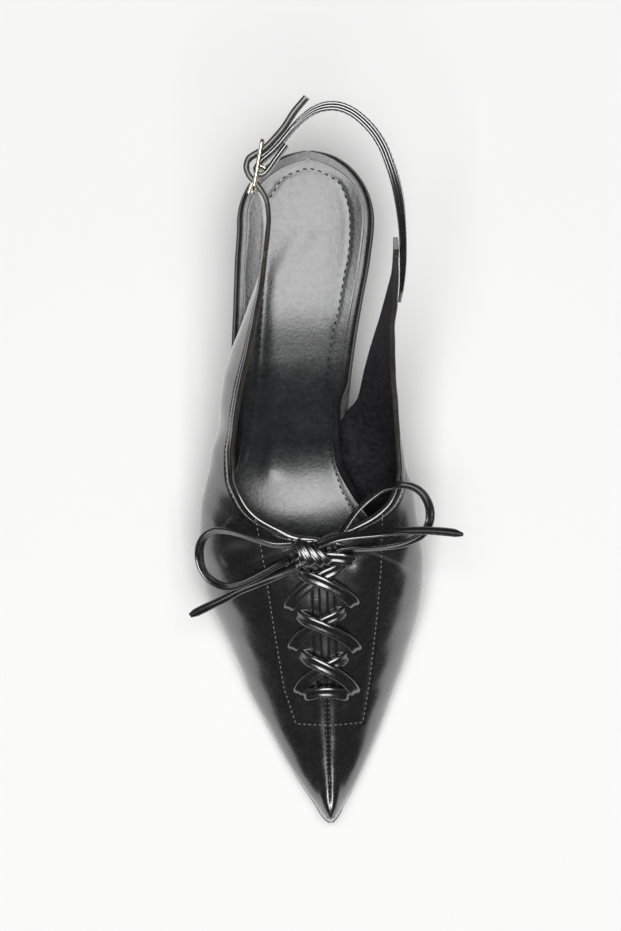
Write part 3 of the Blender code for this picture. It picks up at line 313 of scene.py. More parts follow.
MEDIAL_LOOP_ROUTE = (
    (4.2, -118.9, 51.4), (6.1, -117.1, 51.8), (8.1, -114.8, 52.3), (10.8, -111.0, 53.1),
    (13.5, -107.7, 53.5), (16.5, -104.9, 53.6), (19.6, -102.4, 53.5), (23.4, -99.9, 53.1),
    (27.1, -99.0, 52.5), (30.9, -98.7, 51.5), (34.6, -99.6, 50.2), (37.6, -101.6, 48.6),
    (39.7, -104.7, 47.0), (40.8, -108.4, 45.6), (40.7, -112.2, 44.5), (39.4, -115.5, 43.8),
    (37.1, -118.0, 43.6), (33.7, -119.7, 44.0), (29.1, -121.1, 45.0), (23.5, -121.8, 45.9),
    (17.9, -122.1, 47.1), (12.3, -122.0, 48.7), (7.4, -122.4, 49.6), (5.4, -123.0, 50.0),
)
MEDIAL_TAIL_ROUTE = (
    (-1.3, -119.7, 53.3), (5.0, -117.6, 54.6), (10.5, -116.8, 54.9), (17.9, -116.4, 54.5),
    (25.4, -115.9, 53.4), (32.9, -115.8, 51.9), (40.3, -116.1, 50.2), (45.9, -116.7, 48.9),
    (49.7, -117.3, 48.0), (52.7, -118.1, 47.4),
)

UP = np.array([0.0, 0.0, 1.0])

# Fineness of the meshes
ALONG_STEP = 0.0014
VAMP_STEP = 0.0008
TOP_STEP = 0.0007
DENSE_REACH = 0.022
DENSE_GIRTH = 0.044
SIDE_POINTS = 24
SIDE_SPREAD = 1.15
STRAP_STEP = 0.0011
HEEL_RING = 72
TONGUE_ROWS = 60
TONGUE_COLUMNS = 15

# The upper's rounded edge and the marks pressed into its leather
RIM_BULGE = 0.00035
PANEL_GROOVE = 0.00018
PANEL_GROOVE_WIDTH = 0.0006
PANEL_FROM_EDGE = 0.0042
PANEL_FACING_UP = 0.2
HOLE_DIMPLE = 0.0002
HOLE_DIMPLE_WIDTH = 0.0020
BINDING_FADE = 0.01
SLIT_FADE = 0.001
SEAM_START_FADE = 0.003

# Roundness of the heel behind and at its breast, and its tip's rings: height and share of the heel's foot
HEEL_BACK_POWER = 2 / 2.2
HEEL_BREAST_POWER = 2 / 4.5
TIP_RINGS = (
    (0.0, 0.965), (0.0002, 0.985), (0.0006, 1.0), (HEEL_TIP_THICKNESS - 0.0004, 1.0),
    (HEEL_TIP_THICKNESS, 0.985),
)

# The tongue's ends, past the throat and past the slit's end, in shares of the shoe's length
TONGUE_PAST_THROAT = 0.010
TONGUE_PAST_SLIT = 0.018

# Stitches on the upper
STITCH_PITCH = 0.0021
STITCH_LENGTH = 0.0015
STITCH_RADIUS = 0.00019

# The lace over the vamp: its strip, its dive into a hole and its way over the slit
LACE_STRIP_WIDTH = 0.0047
LACE_STRIP_THICKNESS = 0.0020
LACE_DIP = 0.0046
DIP_REACH = 0.16
BAR_RISE = 0.0060
BAR_LIFT = 0.0010
BAR_END_OUT = 0.0006
CROSSING_END_OUT = 0.0012
CROSSING_BEND = (0.36, 0.82)
KNOT_STRAND_LIFT = 0.0012
KNOT_STRAND_END_OUT = 0.0010
SLIT_CROWN = 0.0006
SLIT_BRIDGE = 0.0042

# The two strands of a crossing, the lower one first: from side, to side, rise over the leather, unevenness
CROSSING = (("medial", "lateral", 0.0004, 2), ("lateral", "medial", 0.0022, 5))

# The strands that come up to the knot: from side, place across where they end, unevenness
KNOT_STRANDS = (("lateral", -0.0040, 9), ("medial", 0.0010, 10))

# How much a strand narrows towards its first and its last hole, and over what share of its length
STRAND_ENDS = ((0.18, 0.10), (0.12, 0.08))

# The bow
KNOT_LIFT = 0.0006
KNOT_STRIP_THICKNESS = 0.0012
BOW_STRIP_WIDTH = 0.0036
BOW_STRIP_THICKNESS = 0.0014
BOW_TAPER = 0.05

# Rounded corners and edges of the buckle's frame, the strap and the sole's layers
FRAME_CORNER = 0.0020
STRAP_CORNER = 0.0006
STRAP_SWELL = 0.35
LAYER_GROOVE = 0.00026
OUTSOLE_ROUNDING = 0.0005
INSOLE_ROUNDING = 0.0020
SOCK_ROUNDING = 0.0004

# Slow unevenness: height, then two waves by their turns along, across and upward, and their start
LEATHER_WAVES = (
    (0.00010, (190, 70, 0, 0.0), (0, -90, 160, 1.3)),
    (0.00006, (420, 0, -260, 0.7), (0, 350, 0, 0.4)),
)
SOCK_WAVES = ((0.00004, (170, 120, 0, 0.0), (-60, 150, 0, 1.1)),)

# The padding under the ball: where it starts and stops along the shoe, and how much it lifts the shading
CUSHION_START = 0.420
CUSHION_STOP = 0.620
CUSHION_HEIGHT = 0.0120

# How strongly its shading is dished across, and how far the dish's middle lies to the lateral side
DISH = 4.8
DISH_MIDDLE = 0.003

# The hollow pressed into the sock beside its lateral edge: distance along and place across, in millimetres
SOCK_HOLLOW = ((31, -3.0), (38, -7.5), (46, -12.5), (56, -14.5), (80, -15.5), (117, -18.0))
HOLLOW_DEPTH = 0.00045
HOLLOW_WIDTH = 0.0042
QUILT_DEPTH = 0.00013
QUILT_WIDTH = 0.0009

# A layer's rounded edge from its foot to its top: share of the rounding, share of the thickness
LAYER_EDGE = ((1.0, 0.0), (0.35, 0.08), (0.0, 0.30), (0.0, 0.62), (0.10, 0.82), (0.40, 0.95))

# Relief beside an edge, in millimetres: height, distance from the edge and spread
BINDING_RELIEF = ((0.50, 2.1, 1.0), (-0.30, 3.7, 0.35), (0.25, 0.6, 0.5))
FACING_RELIEF = ((0.50, 1.0, 0.6), (0.45, 2.3, 0.6), (-0.20, 1.65, 0.4), (-0.25, 3.4, 0.5))
SEAM_RELIEF = ((-0.65, 0.0, 0.7), (0.35, 2.8, 2.2))
SEAM_FADE = (0.244, 0.252)

# Seam stitches: pitch, length and radius, and how far each row lies from its edge
SEAM_STITCHES = (0.0018, 0.0009, 0.00012)
SEAM_STITCH_INSET = 0.0007
BINDING_STITCH_INSET = 0.0037
BINDING_STITCH_RADIUS = 0.00015
STRAP_STITCH_INSET = 0.0014
STRAP_STITCH_RADIUS = 0.00006
SOCK_STITCH_SIZES = (0.0028, 0.0020, 0.00027)

# The strip's turns in the bow's knot: shift along it, lean, half width, half height and the strip's width
KNOT_TURNS = (
    (-0.0036, 0.35, 0.0037, 0.0029, 0.0030),
    (-0.0022, 0.85, 0.0042, 0.0034, 0.0032),
    (0.0008, 1.15, 0.0036, 0.0030, 0.0030),
    (0.0036, 1.30, 0.0027, 0.0024, 0.0026),
)

# The bow's strips: name, route, turn of the width at shares of the length, far end, and how far that tapers
BOW = (
    (
        "lace_loop_lateral", LATERAL_LOOP_ROUTE,
        ((0, 60), (0.2, 66), (0.42, 40), (0.5, 20), (0.6, 36), (0.8, 58), (1, 60)), "object", 1.0,
    ),
    (
        "lace_loop_medial", MEDIAL_LOOP_ROUTE,
        ((0, 55), (0.2, 64), (0.45, 40), (0.56, 16), (0.66, 40), (0.85, 62), (1, 55)), "object", 1.0,
    ),
    ("lace_tail_lateral", LATERAL_TAIL_ROUTE, ((0, 50), (0.3, 36), (1, 28)), "bare", 0.55),
    ("lace_tail_medial", MEDIAL_TAIL_ROUTE, ((0, 20), (0.3, 40), (1, 36)), "bare", 0.35),
)

# Camera: straight above the shoe, turned a little
CAMERA_PLACE = (-0.00313, -0.09036, 1.10)
CAMERA_TURN = -0.0348
CAMERA_LENS = 109.35
SENSOR_HEIGHT = 36.0

# The leathers: name, colour, roughness, grain and its depth, then what is its own
LEATHERS = (
    (
        "black_leather", (0.005, 0.005, 0.0055), 0.25, 1150, 0.00005,
        {"coat": 1.0, "sheen": 0.02, "dent": 0.16},
    ),
    ("strip_leather", (0.005, 0.005, 0.0055), 0.25, 1500, 0.00004, {"coat": 0.7}),
    ("lining_leather", (0.006, 0.006, 0.009), 0.50, 1300, 0.00004, {}),
    # The tongue's colour, lighter than the black leather, is a painted reflection of the bright room on its
    # glossy black leather.
    ("tongue_leather_painted_reflection", (0.030, 0.030, 0.031), 0.30, 1300, 0.00004, {"coat": 0.5}),
    ("edge_paint", (0.024, 0.021, 0.018), 0.34, 1500, 0.00003, {}),
    ("sock_leather", (0.013, 0.014, 0.015), 0.25, 900, 0.00004, {"coat": 0.32, "dent": 0.12, "ior": 1.62}),
    ("seat_leather", (0.008, 0.008, 0.009), 0.28, 1000, 0.00005, {"coat": 0.2, "dent": 0.10, "ior": 1.55}),
    ("sole_leather", (0.012, 0.012, 0.012), 0.45, 900, 0.00005, {}),
    ("rubber", (0.015, 0.015, 0.015), 0.6, 2200, 0.00004, {}),
)
LEATHER_IOR = 1.85
COAT_ROUGHNESS = 0.20
SHEEN_ROUGHNESS = 0.25
PEBBLE_SMOOTHNESS = 0.6
PEBBLE_STRENGTH = 0.5
DENT_SCALE = 130.0
DENT_DEPTH = 0.0004
CLOUDY = 0.35
GLOSS_SCALE = 520.0
GLOSS_RANGE = (0.85, 1.2)
NOISE_RANGE = (0.3, 0.7)

# The metal and the threads
PALE_GOLD = (0.80, 0.74, 0.62)
METAL_ROUGHNESS = 0.16
# The grey of the panel and toe seam stitches is painted sheen: dark stitches that look light through the
# sheen on them.
PAINTED_SHEEN_THREAD = (0.22, 0.22, 0.22)
DARK_THREAD = (0.010, 0.010, 0.011)

# Light: the room's own brightness, then each lamp with its place, aim, size and power
WORLD_STRENGTH = 0.045
LIGHTS = (
    ("overhead", (0.0, -0.25, 1.95), (0, -0.25, 0.0), (1.25, 1.6), 44.5),
    ("left_panel", (-1.6, -0.1, 0.40), (0, -0.1, 0.03), (0.8, 2.4), 1.2),
    ("right_panel", (1.6, -0.1, 0.40), (0, -0.1, 0.03), (0.8, 2.4), 1.2),
)
FLOOR_COLOUR = (0.90, 0.90, 0.895, 1)
FLOOR_REACH = 3.0

# The stitched panel round the lacing: distance along and place across, in millimetres
PANEL = (
    (133.0, -24.6), (154.8, -21.5), (177.6, -19.0), (200.9, -16.1), (214.7, -12.1), (215.4, 0.8),
    (215.2, 13.4), (202.1, 16.0), (179.0, 19.3), (156.3, 21.9), (129.0, 23.4),
)

# The sock's stitch line from the lateral waist round the seat to the medial ball, in millimetres
SOCK_STITCHES = (
    (113, -28.2), (108, -26.4), (102, -24.9), (91, -22.7), (80, -21.5), (75, -20.9), (69, -20.3), (64, -19.7),
    (58, -19.1), (50, -18.3), (42, -17.6), (34, -17.0), (27, -16.4), (20, -15.5), (17, -14.6), (15, -13.1),
    (11, -10.7), (9, -8.1), (8, -5.1), (7, -2.1), (7, 0.9), (8, 4.2), (10, 7.8), (12, 10.7), (15, 12.4),
    (19, 13.7), (23, 14.5), (26, 14.6), (32, 14.4), (37, 13.9), (42, 13.0), (45, 12.1), (49, 11.3),
    (53, 10.4), (59, 9.3), (63, 8.2), (67, 6.9), (72, 6.1), (77, 5.1), (83, 4.6), (88, 4.0), (96, 3.2),
    (107, 3.8), (116, 5.4), (126, 8.2), (134, 12.1), (142, 17.0),
)

# Soft creases by side: from and to (along, distance from the top edge) in shares of the shoe's length, then
# depth and width in millimetres. A negative depth is a ridge.
CREASES = (
    ("lateral", (0.395, 0.030), (0.440, 0.110), 0.20, 3.0),
    ("lateral", (0.440, 0.045), (0.500, 0.125), 0.22, 4.0),
    ("lateral", (0.530, 0.080), (0.585, 0.180), 0.22, 4.5),
    ("lateral", (0.595, 0.070), (0.655, 0.140), 0.22, 3.2),
    ("lateral", (0.630, 0.050), (0.690, 0.105), 0.16, 2.4),
    ("lateral", (0.720, 0.040), (0.800, 0.080), -0.15, 4.0),
    ("lateral", (0.860, 0.025), (0.930, 0.040), 0.12, 2.0),
    ("lateral", (0.560, 0.030), (0.600, 0.060), 0.12, 2.0),
    ("medial", (0.405, 0.045), (0.455, 0.120), 0.22, 4.0),
    ("medial", (0.595, 0.048), (0.665, 0.062), -0.55, 6.0),
    ("medial", (0.480, 0.060), (0.540, 0.150), 0.25, 4.5),
    ("medial", (0.560, 0.090), (0.620, 0.180), 0.24, 4.0),
    ("medial", (0.600, 0.070), (0.660, 0.130), 0.20, 3.2),
    ("medial", (0.625, 0.045), (0.690, 0.095), 0.16, 2.4),
    ("medial", (0.655, 0.040), (0.705, 0.070), 0.12, 1.8),
    ("medial", (0.720, 0.040), (0.800, 0.072), -0.15, 4.0),
    ("medial", (0.850, 0.030), (0.920, 0.040), 0.12, 2.0),
)


def unit(v):
    """Vectors along the last axis at unit length."""
    return v / np.maximum(np.linalg.norm(v, axis=-1, keepdims=True), 1e-12)


def run_along(line):
    """Distances along a line of points, counted from its first."""
    return np.concatenate([[0], np.cumsum(np.linalg.norm(np.diff(line, axis=0), axis=1))])


def ease(t):
    """A share from 0 to 1 that starts and ends gently."""
    t = np.clip(t, 0, 1)
    return t * t * (3 - 2 * t)


def hermite(y, m, i, h, t):
    """Smooth curve from point i to the next, a share t of the step h between them."""
    start = (1 + 2 * t) * (1 - t) ** 2 * y[i] + t * (1 - t) ** 2 * h * m[i]
    return start + t * t * (3 - 2 * t) * y[i + 1] + t * t * (t - 1) * h * m[i + 1]


def around(count):
    """Cosine and sine of evenly spaced turns."""
    turns = [2 * math.pi * k / count for k in range(count)]
    return [(math.cos(turn), math.sin(turn)) for turn in turns]


def column(table, name):
    """One named column of a table, as numbers."""
    place = table[0].index(name)
    return np.array([row[place] for row in table[1:]], float)


def slopes(x, y):
    """Slopes at a curve's points that keep it from rising past its own points."""
    step = np.diff(x)
    grade = np.diff(y) / step
    out = np.concatenate([[grade[0]], np.zeros(len(x) - 2), [grade[-1]]])
    for i in range(1, len(x) - 1):
        if grade[i - 1] * grade[i] > 0:
            before = 2 * step[i] + step[i - 1]
            after = step[i] + 2 * step[i - 1]
            out[i] = (before + after) / (before / grade[i - 1] + after / grade[i])
    return out


def smooth(x, y, at):
    """The smooth curve through points x, y, read at some places."""
    x = np.asarray(x, float)
    y = np.asarray(y, float)
    at = np.clip(np.asarray(at, float), x[0], x[-1])
    m = slopes(x, y)
    i = np.clip(np.searchsorted(x, at, side="right") - 1, 0, len(x) - 2)
    h = x[i + 1] - x[i]
    return hermite(y, m, i, h, (at - x[i]) / h)


def read(table, name, at):
    """A table's column as a smooth curve along the shoe, at a distance from the heel's back."""
    return smooth(column(table, table[0][0]), column(table, name), np.asarray(at) / LENGTH)


def sole_top(d):
    """Height of the outsole's top face at a distance from the heel's back."""
    arch = read(SOLE_PROFILE, "arch", d) * (SEAT_HEIGHT - OUTSOLE_THICKNESS)
    return OUTSOLE_THICKNESS + arch + read(SOLE_PROFILE, "spring", d) * TOE_SPRING


def round_end(distance, radius):
    """How much of its full width a round end has at a distance from its tip."""
    t = np.clip(1 - np.asarray(distance) / radius, 0, 1)
    return np.sqrt(1 - t * t)


def outline(d, side):
    """Half width of the last's edge on one side."""
    half = read(SOLE_OUTLINE, side, d) * BALL_WIDTH
    return half * round_end(d, SEAT_ROUND) * round_end(LENGTH - np.asarray(d), TOE_ROUND)


def ridge(d):
    """Height of the vamp's ridge."""
    return sole_top(d) + read(VAMP_RIDGE, "rise", d) * INSTEP_RISE


def throat_height():
    return float(ridge(column(VAMP, "top_along")[0] * LENGTH))


def sign(side):
    return -1 if side == "lateral" else 1


def place(d, x, z):
    """A point of the shoe from its distance along, its place across and its height."""
    return np.stack(np.broadcast_arrays(x, HEEL_SETBACK - np.asarray(d), z), axis=-1)


def path_of(table, side):
    """A strap's middle line from its table, in the shoe's frame."""
    d = column(table, "along") * LENGTH
    x = column(table, "out") * BALL_WIDTH * sign(side)
    z = throat_height() + column(table, "climb") * STRAP_RISE
    return place(d, x, z)


def directions(points):
    """Unit tangents along a line of points."""
    return unit(np.gradient(points, axis=0))


def upright(tangent, lean):
    """The direction across a strap on its edge, whose top leans in over the foot by shares of the lean."""
    up = unit(UP - tangent[:, 2:3] * tangent)
    angle = np.asarray(lean)[:, None] * STRAP_LEAN
    return np.cos(angle) * up - np.sin(angle) * np.cross(tangent, up)


def strap_rows(table, side):
    """Section rows of a strap that belongs to the upper: each row is one straight line."""
    line = path_of(table, side)
    up = upright(directions(line), column(table, "lean")) * STRAP_WIDTH
    return [tuple(p + up_here * share for share in (-0.5, -0.17, 0.17, 0.5)) for p, up_here in zip(line, up)]


def quarter_rows(table, side):
    """Section rows of a quarter, as foot, two handles and top."""
    rows = []
    base = throat_height()
    for row in table[1:]:
        v = dict(zip(table[0], row))
        foot_d = v["foot_along"] * LENGTH
        top_d = v["top_along"] * LENGTH
        floor = float(sole_top(foot_d)) + CLEARANCE
        on_edge = v["foot_out"] is None
        foot_out = float(outline(foot_d, side)) if on_edge else v["foot_out"] * BALL_WIDTH
        foot_z = floor + v["lift"] * STRAP_RISE
        top_out = v["top_out"] * BALL_WIDTH
        top_z = base + v["climb"] * STRAP_RISE
        rise = top_z - foot_z
        near = foot_d + 0.2 * (top_d - foot_d)
        far = top_d + 0.3 * (foot_d - top_d)
        dip = float(ridge(far) - ridge(top_d)) if on_edge else 0.0
        rows.append((
            place(foot_d, sign(side) * foot_out, foot_z),
            place(near, sign(side) * (foot_out + v["flare"] * BALL_WIDTH), foot_z + v["rise"] * rise),
            place(far, sign(side) * (top_out + v["shoulder"] * BALL_WIDTH), top_z + dip - v["drop"] * rise),
            place(top_d, sign(side) * top_out, top_z),
        ))
    return rows


def vamp_rows(side):
    """Section rows of the vamp, whose tops lie on the slit's edge or on the seam."""
    rows = []
    for row in VAMP[1:]:
        v = dict(zip(VAMP[0], row))
        foot_d = v["foot_along"] * LENGTH
        top_d = v["top_along"] * LENGTH
        foot_z = float(sole_top(foot_d)) + CLEARANCE
        top_z = float(ridge(top_d))
        half = float(outline(foot_d, side)) if foot_d < LENGTH else 0.0
        near = foot_d + 0.2 * (top_d - foot_d)
        far = top_d + 0.3 * (foot_d - top_d)
        rise = top_z - foot_z
        rows.append((
            place(foot_d, sign(side) * half, foot_z),
            place(near, sign(side) * half * (1 + v["flare"]), foot_z + v["rise"] * rise),
            place(far, sign(side) * half * v["shoulder"], float(ridge(far)) - v["drop"] * rise),
            place(top_d, 0.0, top_z),
        ))
    return rows


def slit_half_gap(d):
    table_d = column(SLIT, "along") * LENGTH
    gap = smooth(table_d, column(SLIT, "gap"), d) * SLIT_GAP / 2
    return np.where(np.asarray(d) < table_d[-1] - 1e-6, gap, 0.0)


def stations(counts):
    """Places along rows, with so many steps from each row to the next."""
    out = []
    for i, n in enumerate(counts):
        out += [i + j / n for j in range(n)]
    return np.array(out + [float(len(counts))])


def grid_normals(grid, side):
    along = np.gradient(grid, axis=0)
    across = np.gradient(grid, axis=1)
    return unit(np.cross(along, across) * -sign(side))


def offset_inward(half):
    """The step from the outer to the inner surface, level along the edge that stands on the sole."""
    normal = half["normal"].copy()
    level = normal.copy()
    level[:, :, 2] = 0
    share = np.zeros(normal.shape[:2])
    share[half["closed"], 0] = 1.0
    direction = unit(normal + (unit(level) - normal) * share[:, :, None])
    reach = UPPER_WALL / np.maximum((direction * normal).sum(axis=2, keepdims=True), 0.5)
    step = direction * reach
    foot = half["grid"][:, 0] - step[:, 0]
    d = HEEL_SETBACK - foot[:, 1]
    closed = half["closed"]
    step[closed, 0, 2] = (half["grid"][:, 0, 2] - sole_top(d) - CLEARANCE)[closed]
    return step


def shell_faces(count_along, count_across, start, flip):
    """Faces of a grid of points, numbered from start."""
    faces = []
    for i in range(count_along - 1):
        for j in range(count_across - 1):
            a = start + i * count_across + j
            quad = (a, a + count_across, a + count_across + 1, a + 1)
            faces.append(quad[::-1] if flip else quad)
    return faces


def ring_faces(count, sides):
    """Faces of rings of points joined one to the next, and of the two end caps."""
    faces = []
    for start in range(0, (count - 1) * sides, sides):
        for k in range(sides):
            after = start + (k + 1) % sides
            faces.append((start + k, after, after + sides, start + k + sides))
    faces.append(tuple(range(sides))[::-1])
    faces.append(tuple(range((count - 1) * sides, count * sides)))
    return faces


def resampled(line, step):
    """The line again on a smooth curve, with points about one step apart."""
    line = np.asarray(line, float)
    run = run_along(line)
    at = np.linspace(0, run[-1], max(3, round(run[-1] / step) + 1))
    i = np.clip(np.searchsorted(run, at, side="right") - 1, 0, len(run) - 2)
    h = (run[i + 1] - run[i])[:, None]
    return hermite(line, np.gradient(line, run, axis=0), i, h, (at - run[i])[:, None] / h)


def edge_inset(d, wall_from, wall_to):
    """How far the insole's edge lies inside the last's: a wall more where the upper stands on the sole."""
    return CLEARANCE + (UPPER_WALL + CLEARANCE) * ease((d - wall_from) / (wall_to - wall_from))


def outline_at(d, side, inset, start, stop):
    """Half width of a layer that starts and stops short of the last's ends, or past them."""
    share = (d - start) / (stop - start)
    gap = float(inset(d)) if callable(inset) else inset
    inner = np.clip(share * LENGTH, 0.0001, LENGTH - 0.0001)
    mixed = read(SOLE_OUTLINE, side, d) * BALL_WIDTH * round_end(inner, SEAT_ROUND - gap)
    mixed = mixed * round_end(LENGTH - inner, TOE_ROUND)
    return max(float(mixed) - gap, 0.0012)


def heel_ring(level):
    """One level of the heel, a round back and a flat breast."""
    heights = column(HEEL_LEVELS, "height")
    v = {name: float(smooth(heights, column(HEEL_LEVELS, name), level)) for name in HEEL_LEVELS[0][1:]}
    tip_back = HEEL_SETBACK - HEEL_TIP_LENGTH / 2
    tip_breast = HEEL_SETBACK + HEEL_TIP_LENGTH / 2
    back = tip_back + (HEEL_INSET + CLEARANCE - tip_back) * v["back"]
    breast = tip_breast + (HEEL_BREAST - tip_breast) * v["breast"]
    middle = HEEL_SETBACK
    widths = {}
    for side in ("lateral", "medial"):
        seat = float(outline(SEAT_ROUND, side)) - HEEL_INSET
        widths[side] = HEEL_TIP_WIDTH / 2 + (seat - HEEL_TIP_WIDTH / 2) * v["width"]
    ring = []
    for c, s in around(HEEL_RING):
        power = HEEL_BACK_POWER if s > 0 else HEEL_BREAST_POWER
        x = math.copysign(abs(c) ** power, c) * widths["medial" if c > 0 else "lateral"]
        d = middle - math.copysign(abs(s) ** power, s) * (middle - back if s > 0 else breast - middle)
        top = float(sole_top(max(d, 0.0))) - OUTSOLE_THICKNESS - CLEARANCE
        low = HEEL_TIP_THICKNESS + CLEARANCE
        ring.append(place(d, x, low + (top - low) * level))
    return ring


def spot(row):
    """A place of the buckle from its along, out and climb."""
    return place(row[0] * LENGTH, row[1] * BALL_WIDTH, throat_height() + row[2] * STRAP_RISE)


def prong_line():
    """The prong's middle line: from the centre bar through the billet to rest on the front end bar."""
    front, centre = spot(BUCKLE_FRONT), spot(CENTRE_BAR)
    outward = np.array([-1.0, 0.0, 0.0])
    reach = (FRAME_WIRE + PRONG_WIRE) / 2 + CLEARANCE
    root = centre + outward * (CENTRE_BAR_WIRE / 2 + PRONG_WIRE / 2 + CLEARANCE)
    rest = front + outward * reach * 1.1
    rest[2] = (centre[2] + front[2]) / 2
    root[2] = rest[2] + 0.0004
    along = rest - root
    return np.array([root, root + along * 0.35, root + along * 0.75, rest, rest + along * 0.05])


def strap_line():
    """The slingback strap's middle line with its fold round the centre bar, and its thickness along it."""
    line = path_of(SLINGBACK, "medial")
    thick = column(SLINGBACK, "thickness") * STRAP_THICKNESS
    centre = spot(CENTRE_BAR)
    radius = (CENTRE_BAR_WIRE + FOLD_THICKNESS) / 2 + CLEARANCE
    end = spot(FOLD_END)
    away = line[-1] - centre
    start_turn = math.atan2(away[1], away[0])
    tangent_turn = math.acos(min(radius / math.hypot(away[0], away[1]), 1))
    first = start_turn + tangent_turn
    back = end - centre
    turned = math.acos(min(radius / math.hypot(back[0], back[1]), 1))
    last = math.atan2(back[1], back[0]) - turned + 2 * math.pi
    turns = np.linspace(first, last, 9)
    loop = [centre + np.array([math.cos(a) * radius, math.sin(a) * radius, 0.0]) for a in turns]
    heights = [line[-1][2], centre[2], (centre[2] + end[2]) / 2]
    level = np.interp(np.linspace(0, 1, len(loop)), [0, 0.5, 1], heights)
    for p, z in zip(loop, level):
        p[2] = z
    middle = (loop[-1] + end) / 2
    whole = np.vstack([line, loop, [middle, end]])
    thickness = np.concatenate([thick, [FOLD_THICKNESS] * (len(loop) + 2)])
    return whole, thickness


def fine_steps(rows, throat):
    """How many steps to take from each section row to the next, for a fine mesh."""
    steps = []
    for i in range(len(rows) - 1):
        reach = max(np.linalg.norm(rows[i + 1][k] - rows[i][k]) for k in (0, 3))
        steps.append(max(1, math.ceil(reach / (VAMP_STEP if i >= throat else ALONG_STEP))))
    return steps


def distances_from_top(girth):
    """Distances of a section's points from its top edge: close together near the top, wider below."""
    base = np.arange(0, DENSE_REACH + TOP_STEP / 2, TOP_STEP)
    rest = (np.arange(1, SIDE_POINTS + 1) / SIDE_POINTS) ** SIDE_SPREAD
    if girth >= DENSE_GIRTH:
        return np.concatenate([base, base[-1] + (girth - base[-1]) * rest])
    full = np.concatenate([base, base[-1] + (DENSE_GIRTH - base[-1]) * rest])
    return full * girth / DENSE_GIRTH


def fine_half(side):
    """One half of the upper's outer surface with its places along, across and from the top edge."""
    strap = strap_rows(BILLET, "lateral") if side == "lateral" else strap_rows(MEDIAL_TAB, "medial")
    table = LATERAL_QUARTER if side == "lateral" else MEDIAL_QUARTER
    quarter = quarter_rows(table, side)
    rows = strap + quarter + vamp_rows(side)
    first_closed = len(strap) + [row[1] is None for row in table[1:]].index(True)
    throat = len(strap) + len(quarter)
    at = stations(fine_steps(rows, throat))
    index = np.arange(len(rows))
    handles = np.array(rows)
    made = np.zeros((4, len(at), 3))
    for k in range(4):
        for axis in range(3):
            made[k, :, axis] = smooth(index, handles[:, k, axis], at)
    foot, top = made[0], made[3]
    closed = at >= first_closed - 1e-9
    foot_d = np.minimum(HEEL_SETBACK - foot[:, 1], LENGTH)
    foot[closed, 0] = (sign(side) * outline(foot_d, side))[closed]
    foot[closed, 2] = (sole_top(foot_d) + CLEARANCE)[closed]
    on_ridge = at >= throat - 1e-9
    top_d = HEEL_SETBACK - top[:, 1]
    top[on_ridge, 0] = (sign(side) * slit_half_gap(top_d))[on_ridge]
    top[on_ridge, 2] = ridge(top_d)[on_ridge]
    grid = []
    left = []
    t = np.linspace(0, 1, 120)[:, None]
    for i in range(len(at)):
        p0, p1, p2, p3 = made[:, i]
        curve = (1 - t) ** 3 * p0 + 3 * (1 - t) ** 2 * t * p1 + 3 * (1 - t) * t**2 * p2 + t**3 * p3
        run = run_along(curve)
        to_top = distances_from_top(run[-1])[::-1]
        grid.append(np.stack([np.interp(run[-1] - to_top, run, curve[:, k]) for k in range(3)], axis=-1))
        left.append(to_top)
    slit_end = int(np.argmax(on_ridge & (np.abs(top[:, 0]) < 1e-9)))
    return dict(
        grid=np.array(grid), to_top=np.array(left), throat=int(np.argmax(on_ridge)), slit_end=slit_end,
        closed=closed, on_ridge=on_ridge, side=side,
    )


def hole_place(hole, side, out=0.0):
    """Where a lace hole lies: distance along and place across."""
    d = column(LACE_HOLES, side + "_along")[hole] * LENGTH
    x = (column(LACE_HOLES, side + "_out")[hole] * BALL_WIDTH + out) * sign(side)
    return np.array([d, x])


def bump_at(x, middle, spread):
    """A soft bump of height one."""
    return np.exp(-(((x - middle) / spread) ** 2))


def step_at(x, low, high):
    """A gentle step from none at low to one at high."""
    return ease((x - low) / (high - low))


def ridges(table, distance):
    """Soft ridges and grooves that run along an edge, from rows of height, distance and spread."""
    mm = np.array(table) / 1000
    return sum(height * bump_at(distance, middle, spread) for height, middle, spread in mm)


def distance_to_line(d, x, line):
    """Plan distance from places to a line of points, all in metres."""
    line = np.array(line, float) / 1000
    best = np.full(np.shape(d), 1.0)
    p = np.stack([d, x], axis=-1)
    for a, b in zip(line[:-1], line[1:]):
        way = b - a
        t = np.clip(((p - a) @ way) / way.dot(way), 0, 1)
        best = np.minimum(best, np.linalg.norm(p - a - t[..., None] * way, axis=-1))
    return best


